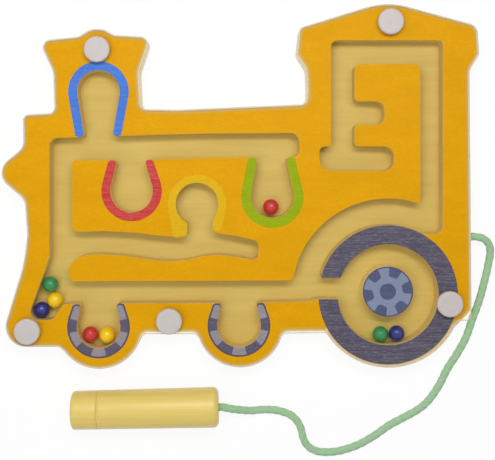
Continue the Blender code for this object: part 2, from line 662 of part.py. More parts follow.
def main():
    for old in list(bpy.data.objects):
        bpy.data.objects.remove(old, do_unlink=True)
    parts = bpy.data.collections.new(BOARD_NAME)
    cutters = bpy.data.collections.new("cutters")
    bpy.context.scene.collection.children.link(parts)
    bpy.context.scene.collection.children.link(cutters)
    finishes = {
        "plywood": material("plywood", (0.64, 0.44, 0.15), 0.6),
        "yellow_face": material("yellow_face", (0.78, 0.36, 0.003), 0.4),
        "grey_face": material("grey_face", (0.19, 0.22, 0.31), 0.4),
        "acrylic": material("acrylic", (0.9, 0.9, 0.88), 0.05, alpha=0.25),
        "white_plastic": material("white_plastic", (0.58, 0.54, 0.52), 0.35),
        "zinc_steel": material("zinc_steel", (0.6, 0.6, 0.6), 0.35, 1.0),
        "nickel": material("nickel", (0.65, 0.63, 0.6), 0.25, 1.0),
        "beech": material("beech", (0.7, 0.55, 0.13), 0.35),
        "cord_green": material("cord_green", (0.3, 0.5, 0.28), 0.85),
        "green_ball": material("green_ball", (0.07, 0.27, 0.11), 0.3),
        "yellow_ball": material("yellow_ball", (0.83, 0.52, 0.01), 0.3),
        "blue_ball": material("blue_ball", (0.05, 0.05, 0.17), 0.3),
        "red_ball": material("red_ball", (0.52, 0.05, 0.04), 0.3),
    }
    make_board(parts, cutters, finishes)
    make_fasteners(parts, finishes)
    make_balls(parts, finishes)
    make_wand(parts, finishes)
    make_cord(parts, finishes)


main()
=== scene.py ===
import math

import bmesh
import bpy
from mathutils import Matrix, Vector, noise
from mathutils.geometry import tessellate_polygon


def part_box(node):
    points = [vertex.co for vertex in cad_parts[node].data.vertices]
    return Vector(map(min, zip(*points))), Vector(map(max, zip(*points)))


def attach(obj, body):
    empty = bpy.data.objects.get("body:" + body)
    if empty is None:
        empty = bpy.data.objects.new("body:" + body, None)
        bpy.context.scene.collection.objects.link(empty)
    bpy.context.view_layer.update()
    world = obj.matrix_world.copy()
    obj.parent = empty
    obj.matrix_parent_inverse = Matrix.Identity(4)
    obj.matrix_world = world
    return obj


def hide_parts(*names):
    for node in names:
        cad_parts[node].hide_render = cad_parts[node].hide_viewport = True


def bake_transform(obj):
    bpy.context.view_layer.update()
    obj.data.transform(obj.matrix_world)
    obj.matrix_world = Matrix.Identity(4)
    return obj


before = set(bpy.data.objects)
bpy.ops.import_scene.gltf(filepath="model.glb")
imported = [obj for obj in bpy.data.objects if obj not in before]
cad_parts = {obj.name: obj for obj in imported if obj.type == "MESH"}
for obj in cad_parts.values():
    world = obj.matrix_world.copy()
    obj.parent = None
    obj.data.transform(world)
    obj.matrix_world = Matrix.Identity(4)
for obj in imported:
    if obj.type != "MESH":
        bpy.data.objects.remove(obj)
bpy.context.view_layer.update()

# The camera stands straight over the board; its shift keeps it looking square down.
CAMERA_PLACE = (-0.0038, 0.0133, 0.5808)
CAMERA_LENS = 66.0
CAMERA_SHIFT = (0.0253, -0.1313)
CAMERA_SENSOR = 36.0
CAMERA_NEAR = 0.01

# The light: the even surround's share, then each lamp's place, aim, width, depth and power. The key
# is a strip along the board, so that its shadows are crisp below a wall and soft beside one.
WORLD_SHARE = 0.35
LAMPS = [
    ("key_strip", (0.03, 0.215, 0.600), (0.0, 0.0, 0.0), 0.56, 0.12, 2.05),
    ("overhead_fill", (-0.25, -0.05, 0.80), (0.0, 0.0, 0.0), 0.40, 0.40, 1.2),
    ("left_window", (-0.32, -0.42, 0.62), (0.0, 0.0, 0.0), 0.50, 0.50, 0.5),
]

# The table: its white, and the share of it that is shown as plain white light. The rest of it keeps
# the object's shadow.
TABLE_WHITE = 0.97
TABLE_GLOW_SHARE = 0.90
TABLE_HALF = 2.5
TABLE_DROP = 0.0002

# Board, as in the CAD part
BOARD_LENGTH = 0.2964
BOARD_WIDTH = 0.2264
BACK_THICKNESS = 0.003
PLATE_THICKNESS = 0.0115
COVER_THICKNESS = 0.002
LAYER_GAP = 0.0003
COVER_LIP = 0.0013
COVER_SIZE_SHARE = 0.996
SMALL_WHEEL_RADIUS = 0.027
LARGE_WHEEL_RADIUS = 0.0459
ROUND_ANGLE = math.radians(6)
ROUND_CHORD = 0.0016

# How much of a side a corner's rounding may take: from one that is shared with another rounding, and
# from one that is free. Then the closest two points of an outline, and the least that a sharp corner's
# move is divided by, which keeps it from running far out.
SHARED_SIDE = 0.48
FREE_SIDE = 0.9
LEAST_SPACING = 0.00008
SHARPEST_STRETCH = 0.6

# The balls. Their coat ripples by this height, each ball in its own way.
BALL_DIAMETER = 0.010
BALL_MARGIN = 0.00004
RIPPLE_HEIGHT = 0.00003
RIPPLES_PER_METRE = 420
RIPPLE_SHIFT = 900

# Channels, hub and ring
KEYHOLE_RADIUS = 0.0132
POCKET_RADIUS = 0.0135
HUB_RADIUS = 0.0159
HUB_MIDDLE_RADIUS = 0.0051
RING_RADIUS = 0.0313
RING_OUTER_RADIUS = 0.0435
CURVE_RADIUS = 0.0599
MOUTH_FILLET = 0.0024

# Caps over the screws. The dimple's rows are shares of its radius and how deep the face lies there.
CAP_DIAMETER = 0.016
CAP_HEIGHT = 0.0036
CAP_WALL = 0.001
CAP_EDGE = 0.0011
CAP_FOOT_CHAMFER = 0.00015
CAP_FOOT_HEIGHT = CAP_EDGE * 0.4
CAP_DIMPLE = 0.0011
CAP_DIMPLE_ROWS = ((0, 0.00012), (0.6, 0.00011), (1, 0.00002), (1.3, 0))
CAP_SIDES = 72
BORE_RADIUS = 0.0018
BORE_MARGIN = 0.0006

# Wand. Each lathe ring is its distance from the tip and its depth.
WAND_LENGTH = 0.0916
WAND_TIP_RADIUS = 0.0118
WAND_REAR_RADIUS = 0.0124
WAND_TIP_LENGTH = 0.0163
WAND_TIP_ROUND = 0.0018
WAND_REAR_ROUND = 0.0036
WAND_TIP_WALL = 0.0025
WAND_GAP = 0.0003
SEAM_CHAMFER = 0.0002
SEAM_LINE = 0.00008
MAGNET_RADIUS = 0.0072
MAGNET_THICKNESS = 0.006
WAND_SIDES = 96
LATHE_RING_HALF = 0.0004
TIP_LATHE_RINGS = ((0.0125, 0.00004), (0.0098, 0.00003), (0.0062, 0.00004))
HANDLE_LATHE_RINGS = ((0.0830, 0.00003), (0.0222, 0.00004), (0.0195, 0.00005))

# Cord. It lifts over the stretch LIFT_REACH behind the wand's end, and is up whole from LIFT_HOLD on.
CORD_DIAMETER = 0.005
CORD_RADIUS = CORD_DIAMETER / 2
CORD_BORE_DEPTH = 0.008
CORD_END_GAP = 0.0003
CORD_LIFT = 0.00002
CORD_STEP = 0.0018
ROUTE_FINENESS = 24
STRANDS = 4
STRAND_SIDES = 12
STRAND_RADIUS = 0.00152
STRAND_ORBIT = 0.00098
STRAND_LAY = 0.0200
YARN_PITCH = 0.0011
YARNS_ROUND_STRAND = 9.0
CORD_HOLE_RADIUS = 0.0028
CORD_HOLE_CHAMFER = (0.0003, 0.0002)

# Edges and print. Each thinning stop is a share of the ink's strength and the colour there.
PLY = 0.0014
WOOD_EDGE = 0.0004
COVER_EDGE = 0.0008
FILM_INSET = 0.00016
SHEET_GAP = 0.00002
FILM_SINK = 0.00002
FILM_EDGE_SHARE = 0.4
FILM_HEIGHT = 0.00005
LINE_HEIGHT = FILM_HEIGHT * 1.6
HUB_LINE_HEIGHT = FILM_HEIGHT * 0.6
BAND_HEIGHT = 0.0001
HUB_MIDDLE_HEIGHT = BAND_HEIGHT * 1.4
INK_RELIEF = 0.00004
INK_LOOKS = {"Roughness": 0.5, "Specular IOR Level": 0.08}
THINNING_STOPS = ((0.0, "#f3e3bd"), (0.14, "#e3c893"), (0.34, "#d8b56c"), (0.58, "#d4aa46"),
                  (0.8, "#d8a324"))

# The inks: the colour's name, its code, the worn ink's, and how strongly pores and fibres show. Then
# each ball's enamel, whole and thin.
INKS = {
    "blue": ("blue", "#4a7cdd", "#7a9fe6", 0.45, 0.3),
    "red": ("red", "#cb393b", "#dc8278", 0.6, 0.35),
    "green": ("green", "#98ae02", "#b2c042", 0.45, 0.25),
    "pale": ("pale_yellow", "#e6b614", "#f0c544", 0.3, 0.2),
    "ring": ("violet_grey", "#575265", "#9a94a0", 0.65, 0.3),
    "wheel_line": ("dark_violet", "#5a5365", "#7d7682", 0.4, 0.2),
    "wheel_dark": ("slate", "#5f5a70", "#827c8c", 0.5, 0.25),
    "wheel_light": ("silver", "#979099", "#b5aeb3", 0.5, 0.25),
    "hub_dark": ("deep_slate", "#565c80", "#757c96", 0.4, 0.2),
    "hub_light": ("steel_blue", "#8590ad", "#a0aac0", 0.4, 0.2),
}
ENAMELS = {
    "green": ("#268850", "#469868"), "yellow": ("#f8c900", "#fcd200"),
    "blue": ("#272a7c", "#323696"), "red": ("#c3272c", "#cf3a39"),
}

# Roundings of the gear, and how the yellow ink fades towards the edge
GEAR_TIP_ROUND = 0.0003
GEAR_BOTTOM_ROUND = 0.0015
FADE_WIDTH = 0.0033
FADE_EXTRA = 0.0006
FADE_TOP_MIDDLE = (-0.012, 0.062)
FADE_TOP_REACH = (0.060, 0.024)
FADE_RING_EXTRA = 0.0058
FADE_RING_START = 0.011
FADE_RING_REACH = 0.012

PLATE_BOTTOM = BACK_THICKNESS + LAYER_GAP
PLATE_TOP = PLATE_BOTTOM + PLATE_THICKNESS
COVER_BOTTOM = PLATE_TOP + LAYER_GAP
COVER_TOP = COVER_BOTTOM + COVER_THICKNESS
BALL_RADIUS = BALL_DIAMETER / 2
CORD_EXIT_HEIGHT = PLATE_BOTTOM + PLATE_THICKNESS / 2

# Places on the board: shares of BOARD_LENGTH and BOARD_WIDTH from the middle of the board, and where
# there is a third number, the corner's rounding as a share of BOARD_WIDTH.
ROOF_SHARES = [
    (-0.3926, 0.2024, 0.0171), (-0.3954, 0.3150, 0.0607), (-0.4264, 0.4016, 0.0228),
    (-0.3432, 0.4124, 0.0330), (-0.3151, 0.4346, 0.0480), (-0.2880, 0.4330, 0.0480),
    (-0.2687, 0.4173, 0.0274), (-0.1906, 0.4113, 0.0209), (-0.2151, 0.3137, 0.0693),
    (-0.2108, 0.2131, 0.0180), (-0.1374, 0.2110, 0.1653), (0.1387, 0.2265, 0.0197),
    (0.1389, 0.2765, 0.1653), (0.1368, 0.3219, 0.0329), (0.1170, 0.3631, 0.0205),
    (0.1227, 0.4369, 0.0206), (0.3070, 0.5112, 0.2125), (0.4975, 0.4433, 0.0292),
    (0.5017, 0.3642, 0.0167), (0.4811, 0.3191, 0.0424),
]
REAR_CORNER_SHARES = [(0.4853, -0.3416, 0.0450)]
REAR_EDGE = REAR_CORNER_SHARES[0][0] * BOARD_LENGTH
COVER_REAR_CORNER_SHARES = [(0.4853, -0.3711, 0.0138), (0.4600, -0.3711, 0.0083)]
LARGE_WHEEL_SHARES = (0.3108, -0.2972)
LARGE_WHEEL_LEAVES_SHARES = (0.4497, -0.3818)
STRIP_BEHIND_SHARES = [(0.1770, -0.3990, 0.0139), (0.0880, -0.4002, 0.0200)]
MIDDLE_WHEEL_SHARES = (-0.0020, -0.3800)
STRIP_BEFORE_SHARES = [(-0.0940, -0.4018, 0.0194), (-0.2065, -0.4018, 0.0193)]
FRONT_WHEEL_SHARES = (-0.2988, -0.3841)
FRONT_SHARES = [
    (-0.3834, -0.4429, 0.0173), (-0.5108, -0.4424, 0.0566), (-0.4576, -0.2143, 0.4131),
    (-0.4500, -0.1343, 0.1655), (-0.4556, -0.0376, 0.0408), (-0.5233, 0.0380, 0.0455),
    (-0.4580, 0.1077, 0.0395), (-0.4598, 0.1970, 0.0169),
]
START_SHARES = [(-0.4032, 0.1331, 0.0220)]
BLUE_MOUTH_SHARES = [(-0.3295, 0.1350), (-0.2706, 0.1375)]
BLUE_HEAD_SHARES = (-0.3001, 0.2612)
BOILER_TOP_SHARES = [
    (-0.1917, 0.1413, 0.1653), (-0.0654, 0.1452, 0.1653), (0.1223, 0.1468, 0.0248),
    (0.1223, 0.0802, 0.0220),
]
GREEN_MOUTH_SHARES = [(0.0934, 0.0799), (0.0345, 0.0799)]
GREEN_HEAD_SHARES = (0.0659, -0.0287)
BOILER_LOW_SHARES = [(-0.0654, 0.0793, 0.1653), (-0.1601, 0.0752, 0.1653)]
RED_MOUTH_SHARES = [(-0.2033, 0.0736), (-0.2612, 0.0725)]
RED_HEAD_SHARES = (-0.2304, -0.0129)
ISLAND_SHARES = [
    (-0.3559, 0.0719, 0.0110), (-0.3559, -0.1264, 0.0193), (-0.2894, -0.1237, 0.1653),
    (-0.2222, -0.1281, 0.1653), (-0.1719, -0.1366, 0.1653), (-0.1315, -0.1394, 0.0826),
]
MIDDLE_MOUTH_SHARES = [(-0.1132, -0.1402), (-0.0596, -0.1267)]
MIDDLE_HEAD_SHARES = (-0.0928, -0.0490)
LONG_ISLAND_SHARES = [
    (-0.0444, -0.1303, 0.0551), (-0.0040, -0.1386, 0.0826), (0.0362, -0.1515, 0.0165),
    (0.0362, -0.2047, 0.0138), (-0.0107, -0.1942, 0.1102), (-0.0444, -0.1884, 0.0826),
    (-0.0781, -0.1917, 0.0826), (-0.1115, -0.2025, 0.1102), (-0.1450, -0.2069, 0.1653),
    (-0.1886, -0.2028, 0.1653), (-0.2388, -0.1920, 0.1653), (-0.2927, -0.1865, 0.1653),
    (-0.3262, -0.1893, 0.0826), (-0.3474, -0.1983, 0.0275), (-0.3615, -0.2196, 0.0193),
    (-0.3605, -0.2623, 0.0138),
]
CURVE_START_SHARES = [(0.1054, -0.2598, 0.0083)]
CAB_SHARES = [
    (0.3779, -0.0504, 0.0055), (0.3779, 0.3369, 0.0179), (0.2386, 0.3369, 0.0165),
    (0.2386, 0.2339, 0.0110), (0.3018, 0.2339, 0.0248), (0.3018, 0.1700, 0.0248),
    (0.2386, 0.1700, 0.0110), (0.2386, 0.1099, 0.0110), (0.3218, 0.1096, 0.0275),
    (0.3218, 0.0433, 0.0275), (0.1654, 0.0433, 0.0331), (0.1654, 0.1096, 0.0331),
    (0.1898, 0.1096, 0.0055), (0.1898, 0.4019, 0.0165), (0.4245, 0.4019, 0.0110),
    (0.4245, -0.1306, 0.0193), (0.3824, -0.1306, 0.0041),
]
RING_SHARES = (0.3096, -0.2986)
HUB_SHARES = (0.3089, -0.2901)
RING_END_SHARES = [(0.1679, -0.2526, 0.0083), (0.2098, -0.2526, 0.0041)]
RING_LOW_END_SHARES = [(0.2041, -0.3105, 0.0041), (0.1587, -0.3105, 0.0055), (0.1492, -0.3168, 0.0110)]
MIDDLE_POCKET_MOUTH_SHARES = [(0.0314, -0.3204), (-0.0412, -0.3215)]
MIDDLE_POCKET_SHARES = (-0.0044, -0.3835)
FRONT_POCKET_MOUTH_SHARES = [(-0.2639, -0.3220), (-0.3363, -0.3240)]
FRONT_POCKET_SHARES = (-0.2999, -0.3876)
FOOT_SHARES = [
    (-0.3756, -0.3253, 0.0110), (-0.3969, -0.3691, 0.0220), (-0.4508, -0.3691, 0.0262),
    (-0.4032, -0.1967, 0.0689),
]
SCREW_SHARES = [
    (-0.3013, 0.3752), (0.3128, 0.4511), (-0.4471, -0.3970), (-0.1506, -0.3692), (0.4363, -0.3218),
]
WAND_REAR_SHARES = (-0.0472, -0.6109)
WAND_TIP_SHARES = (-0.3617, -0.6206)
CORD_EXIT_SHARE = -0.1405
ROUTE_FROM_BOARD_SHARES = [
    (0.4965, -0.1404, 0.98), (0.5151, -0.1457, 0.84), (0.5287, -0.1611, 0.56),
    (0.5344, -0.1837, 0.26), (0.5314, -0.2222, 0.01),
]
ROUTE_ON_TABLE_SHARES = [
    (0.5224, -0.2738), (0.5116, -0.3248), (0.4975, -0.3744), (0.4844, -0.4245), (0.4652, -0.4710),
    (0.4434, -0.5155), (0.4251, -0.5627), (0.4017, -0.6058), (0.3786, -0.6309), (0.3432, -0.6564),
    (0.3166, -0.6753), (0.2834, -0.7055), (0.2479, -0.7308), (0.2093, -0.7462), (0.1792, -0.7492),
    (0.1598, -0.7448), (0.1440, -0.7323), (0.1345, -0.7120), (0.1286, -0.6808), (0.1187, -0.6582),
    (0.1031, -0.6420), (0.0743, -0.6309),
]
ROUTE_TO_WAND_SHARES = [
    (0.0441, -0.6295, 0.03), (0.0194, -0.6306, 0.16), (-0.0156, -0.6203, 0.7),
    (-0.0333, -0.6132, 0.93),
]

# The printed horseshoes round the bays: mouth, middle, outer radius, width of the two legs at their
# tips, and what is cut off the first leg's inner and outer line.
HORSESHOES = {
    "blue_horseshoe": (BLUE_MOUTH_SHARES, BLUE_HEAD_SHARES, 0.0189, (0.0056, 0.0054), (0, 0)),
    "red_horseshoe": (RED_MOUTH_SHARES, RED_HEAD_SHARES, 0.0189, (0.0053, 0.0053), (0, 0)),
    "green_horseshoe": (GREEN_MOUTH_SHARES, GREEN_HEAD_SHARES, 0.0195, (0.0058, 0.0058), (0, 0)),
    "pale_horseshoe": (MIDDLE_MOUTH_SHARES, MIDDLE_HEAD_SHARES, 0.0182, (0.0086, 0.0056),
                       (0.0015, 0.0004)),
}
WHEELS = {
    "middle_wheel": (MIDDLE_POCKET_MOUTH_SHARES, MIDDLE_POCKET_SHARES),
    "front_wheel": (FRONT_POCKET_MOUTH_SHARES, FRONT_POCKET_SHARES),
}
WHEEL_PRINT_RADIUS = 0.0196
WHEEL_LINE = 0.0011
HUB_LINE = 0.0008
SHOE_TIP_ROUND = 0.0024
BLOCK_TIP_ROUND = 0.0018
BLOCK_ROUND = 0.0003
WHEEL_LEG = 0.0052
RING_TIP_ROUND = 0.0008
RING_LEAVES_CHANNEL = math.radians(52)
WHEEL_BLOCK_ANGLES = [math.radians(a) for a in (-179, -106, -79, -48, -15, 15, 48, 79, 106, 179)]


def at(shares):
    """The point on the board that a pair of shares names."""
    return Vector((shares[0] * BOARD_LENGTH, shares[1] * BOARD_WIDTH))


def corners(table):
    """The places and roundings of a table of corners."""
    return [(at(row), row[2] * BOARD_WIDTH) for row in table]


def towards(angle):
    return Vector((math.cos(angle), math.sin(angle)))


def arc(centre, radius, start, sweep, trim=0.0):
    """Points along an arc, left out within a length of trim from both of its ends."""
    start += math.copysign(trim / radius, sweep)
    sweep -= math.copysign(2 * trim / radius, sweep)
    steps = max(3, math.ceil(abs(sweep) / ROUND_ANGLE), math.ceil(abs(sweep) * radius / ROUND_CHORD))
    angles = [start + sweep * i / steps for i in range(steps + 1)]
    return [centre + radius * towards(a) for a in angles]


def bearing(centre, point):
    return math.atan2(point.y - centre.y, point.x - centre.x)


def sweep_past(start, end, past):
    """The turn from start to end, in radians, that goes past a third angle."""
    turn = (end - start) % math.tau
    if (past - start) % math.tau > turn:
        turn -= math.tau
    return turn


def wall_arc(centre, radius, first, last, past, trim=0.0):
    """An arc of a wall between the bearings of two points, as sharp corners."""
    start = bearing(centre, first)
    turn = sweep_past(start, bearing(centre, last), past)
    return [(point, 0.0) for point in arc(centre, radius, start, turn, trim)]


def tangent_bearing(centre, radius, point, other):
    """Where the straight wall from a point meets a circle, on the side away from the other point."""
    reach = (point - centre).length
    spread = math.acos(min(1.0, radius / reach))
    base = bearing(centre, point)
    choices = [base + spread, base - spread]
    ends = [centre + radius * towards(a) for a in choices]
    return choices[0] if (ends[0] - other).length > (ends[1] - other).length else choices[1]


def bay(first, last, centre, radius):
    """A round bay with straight cheeks, from one corner of its mouth to the other."""
    start = tangent_bearing(centre, radius, first, last)
    end = tangent_bearing(centre, radius, last, first)
    far = bearing(centre, centre * 2 - (first + last) / 2)
    return [first] + arc(centre, radius, start, sweep_past(start, end, far)) + [last]


def necked_bay(first, last, centre, radius):
    """A round bay whose narrow neck runs straight up to it."""
    joins = []
    for corner in (first, last):
        aside = corner.x - centre.x
        drop = math.sqrt(max(0.0, radius ** 2 - aside ** 2))
        joins.append(Vector((corner.x, centre.y - drop)))
    far = bearing(centre, centre * 2 - (first + last) / 2)
    start = bearing(centre, joins[0])
    turn = sweep_past(start, bearing(centre, joins[1]), far)
    return [first] + arc(centre, radius, start, turn) + [last]


def keyhole(mouth, head, radius, shape=bay):
    """The wall of a bay, from one softened corner of its mouth to the other."""
    path = shape(at(mouth[0]), at(mouth[1]), at(head), radius)
    return ([(path[0], MOUTH_FILLET)] + [(point, 0.0) for point in path[1:-1]]
            + [(path[-1], MOUTH_FILLET)])


def rounded(outline):
    """The outline's points, with each corner turned into an arc of its own radius."""
    points = []
    count = len(outline)
    for i, (corner, radius) in enumerate(outline):
        if radius == 0:
            points.append(corner)
            continue
        before, before_radius = outline[i - 1]
        after, after_radius = outline[(i + 1) % count]
        back, ahead = before - corner, after - corner
        half = back.angle(ahead) / 2
        reach = radius / math.tan(half)
        back_room = back.length * (SHARED_SIDE if before_radius else FREE_SIDE)
        ahead_room = ahead.length * (SHARED_SIDE if after_radius else FREE_SIDE)
        reach = min(reach, back_room, ahead_room)
        radius = reach * math.tan(half)
        back, ahead = back.normalized(), ahead.normalized()
        middle = corner + (back + ahead).normalized() * (radius / math.sin(half))
        first, last = corner + back * reach, corner + ahead * reach
        start = bearing(middle, first)
        turn = sweep_past(start, bearing(middle, last), bearing(middle, corner))
        points += arc(middle, radius, start, turn)
    return points


def engine_outline(rear_corner, lip):
    """The locomotive's outline, round from the chimney to the front. The lip widens its low strips."""
    down = Vector((0, -lip))
    behind = [(point + down, radius) for point, radius in corners(STRIP_BEHIND_SHARES)]
    before = [(point + down, radius) for point, radius in corners(STRIP_BEFORE_SHARES)]
    front = corners(FRONT_SHARES)
    below = math.radians(-90)
    large = wall_arc(at(LARGE_WHEEL_SHARES), LARGE_WHEEL_RADIUS, at(LARGE_WHEEL_LEAVES_SHARES),
                     behind[0][0], below, behind[0][1] / 2)
    middle = wall_arc(at(MIDDLE_WHEEL_SHARES), SMALL_WHEEL_RADIUS, behind[-1][0], before[0][0],
                      below, before[0][1])
    small = wall_arc(at(FRONT_WHEEL_SHARES), SMALL_WHEEL_RADIUS, before[-1][0], front[0][0],
                     below, before[0][1])
    return rounded(corners(ROOF_SHARES) + corners(rear_corner) + large + behind + middle + before
                   + small + front)


def channel_outline():
    """The wall of the channels, one closed line."""
    ring = at(RING_SHARES)
    curve_start = corners(CURVE_START_SHARES)
    cab = corners(CAB_SHARES)
    ring_end = corners(RING_END_SHARES)
    low_end = corners(RING_LOW_END_SHARES)
    above, beside = math.radians(90), 0.0
    wall = corners(START_SHARES)
    wall += keyhole(BLUE_MOUTH_SHARES, BLUE_HEAD_SHARES, KEYHOLE_RADIUS)
    wall += corners(BOILER_TOP_SHARES)
    wall += keyhole(GREEN_MOUTH_SHARES, GREEN_HEAD_SHARES, KEYHOLE_RADIUS)
    wall += corners(BOILER_LOW_SHARES)
    wall += keyhole(RED_MOUTH_SHARES, RED_HEAD_SHARES, KEYHOLE_RADIUS)
    wall += corners(ISLAND_SHARES)
    wall += keyhole(MIDDLE_MOUTH_SHARES, MIDDLE_HEAD_SHARES, KEYHOLE_RADIUS, necked_bay)
    wall += corners(LONG_ISLAND_SHARES) + curve_start
    wall += wall_arc(ring, CURVE_RADIUS, curve_start[0][0], cab[0][0], above, curve_start[0][1])
    wall += cab
    wall += wall_arc(ring, RING_OUTER_RADIUS, cab[-1][0], ring_end[0][0], above, ring_end[0][1])
    wall += ring_end
    wall += wall_arc(ring, RING_RADIUS, ring_end[-1][0], low_end[0][0], beside, ring_end[-1][1])
    wall += low_end
    wall += keyhole(MIDDLE_POCKET_MOUTH_SHARES, MIDDLE_POCKET_SHARES, POCKET_RADIUS)
    wall += keyhole(FRONT_POCKET_MOUTH_SHARES, FRONT_POCKET_SHARES, POCKET_RADIUS)
    wall += corners(FOOT_SHARES)
    return rounded(wall)


def circle(centre, radius):
    return arc(centre, radius, 0.0, math.tau)[:-1]


def turning(points):
    """Twice the area inside a closed line, positive where it runs anticlockwise."""
    return sum(a.x * b.y - b.x * a.y for a, b in zip(points, points[1:] + points[:1]))


def spaced(points):
    """A closed line without points that nearly coincide."""
    kept = [points[0]]
    for point in points[1:]:
        if (point - kept[-1]).length > LEAST_SPACING:
            kept.append(point)
    if (kept[0] - kept[-1]).length <= LEAST_SPACING:
        kept.pop()
    return kept


def inwards(outline, hole=False):
    """A closed line that runs so that the material lies on its left."""
    line = spaced(outline)
    return line[::-1] if (turning(line) > 0) == hole else line


def moved_left(points, distance):
    """A closed line moved sideways, to the left of the way that it runs. The distance may be a number
    or a function of the point."""
    moved = []
    for before, point, after in zip(points[-1:] + points[:-1], points, points[1:] + points[:1]):
        back, ahead = (point - before).normalized(), (after - point).normalized()
        left = Vector((-back.y - ahead.y, back.x + ahead.x)).normalized()
        stretch = max(SHARPEST_STRETCH, left.dot(Vector((-back.y, back.x))))
        amount = distance(point) if callable(distance) else distance
        moved.append(point + left * (amount / stretch))
    return moved


# Colours and nodes

def srgb(code):
    """A linear colour from its sRGB hex code."""
    parts = [int(code[i:i + 2], 16) / 255 for i in (1, 3, 5)]
    return (*[p / 12.92 if p <= 0.04045 else ((p + 0.055) / 1.055) ** 2.4 for p in parts], 1.0)


def add_node(tree, kind, inputs=None, **settings):
    """A new node with its settings. Each input is given as a value, as the socket that feeds it, or as
    the node whose first output feeds it."""
    made = tree.nodes.new(kind)
    for name, value in settings.items():
        setattr(made, name, value)
    for name, value in (inputs or {}).items():
        if isinstance(value, bpy.types.Node):
            value = value.outputs[0]
        if isinstance(value, bpy.types.NodeSocket):
            tree.links.new(value, made.inputs[name])
        else:
            made.inputs[name].default_value = value
    return made


def new_material(name):
    made = bpy.data.materials.new(name)
    made.use_nodes = True
    made.node_tree.nodes.clear()
    return made, made.node_tree


def finish_surface(tree, shader):
    add_node(tree, "ShaderNodeOutputMaterial", {"Surface": shader})


def opaque(made, tree, base, height, depth, looks):
    """Ends an opaque material: its colour, its relief with the depth that a height of 1 stands for, and
    the shader's other inputs."""
    relief = add_node(tree, "ShaderNodeBump", {"Height": height, "Distance": depth})
    shader = add_node(tree, "ShaderNodeBsdfPrincipled", {"Base Color": base, "Normal": relief, **looks})
    finish_surface(tree, shader)
    return made


def streaks(tree, along, across, low, high, detail=3.0, turned=0.0, offset=0.0):
    """Grain that runs along X, as a number that goes from 0 to 1 between two heights of a noise. Along
    and across are the size of its figure in metres."""
    place = add_node(tree, "ShaderNodeTexCoord")
    stretched = add_node(tree, "ShaderNodeMapping", {
        "Vector": place.outputs["Object"], "Location": (offset, offset, offset),
        "Rotation": (0, 0, turned), "Scale": (1 / along, 1 / across, 1 / across)})
    grain = add_node(tree, "ShaderNodeTexNoise", {
        "Vector": stretched, "Scale": 1.0, "Detail": detail, "Roughness": 0.6})
    return add_node(tree, "ShaderNodeMapRange", {
        "Value": grain.outputs["Fac"], "From Min": low, "From Max": high}, clamp=True)


def speckle(tree, size, detail):
    """Even spots of about the given size in metres, as a number from 0 to 1."""
    place = add_node(tree, "ShaderNodeTexCoord").outputs["Object"]
    spots = add_node(tree, "ShaderNodeTexNoise", {"Vector": place, "Scale": 1 / size, "Detail": detail})
    return spots.outputs["Fac"]


def laid_over(tree, base, amount, most, colour):
    """The colour over a base, at most so strong, where a pattern is 1. The pattern stays a number."""
    share = add_node(tree, "ShaderNodeMath", {0: amount, 1: most}, operation="MULTIPLY")
    both = add_node(tree, "ShaderNodeMix", {0: share, 6: base, 7: colour}, data_type="RGBA")
    return both.outputs[2]


def ink_on_grain(tree, ink, worn, pores, fibres, tone):
    """Ink on sanded plywood whose grain runs along X: soft clouds 12 by 30 mm and a mottle of 1 to 2 mm
    in its tone, pale lines where fibres stand up, and pores that show through it as paler dashes 1 to
    4 mm long. The dashes are 0.6 mm wide, twice the real ones, so that they show."""
    pore = streaks(tree, along=0.0034, across=0.0006, low=0.55, high=0.70)
    cloud = streaks(tree, along=0.030, across=0.012, low=0.35, high=0.65, detail=2.0, offset=3.1)
    fibre = streaks(tree, along=0.0160, across=0.0009, low=0.42, high=0.72, detail=4.0, offset=7.7)
    mottle = streaks(tree, along=0.0022, across=0.0012, low=0.3, high=0.7, detail=2.0, offset=4.4)
    deep, darker, lighter = ((*[min(1.0, c * f) for c in srgb(ink)[:3]], 1.0)
                             for f in (1 - 3 * tone, 1 - tone, 1 + tone))
    base = laid_over(tree, darker, cloud, 1.0, lighter)
    base = laid_over(tree, base, mottle, 0.6, deep)
    base = laid_over(tree, base, fibre, fibres, srgb(worn))
    return laid_over(tree, base, pore, pores, srgb(worn)), fibre


def printed_wood(name, ink, worn, pores, fibres, tone=0.05):
    """Screen-printed satin ink on sanded plywood: even colour with the wood's grain just showing."""
    made, tree = new_material(name)
    base, fibre = ink_on_grain(tree, ink, worn, pores, fibres, tone)
    return opaque(made, tree, base, fibre, INK_RELIEF, INK_LOOKS)


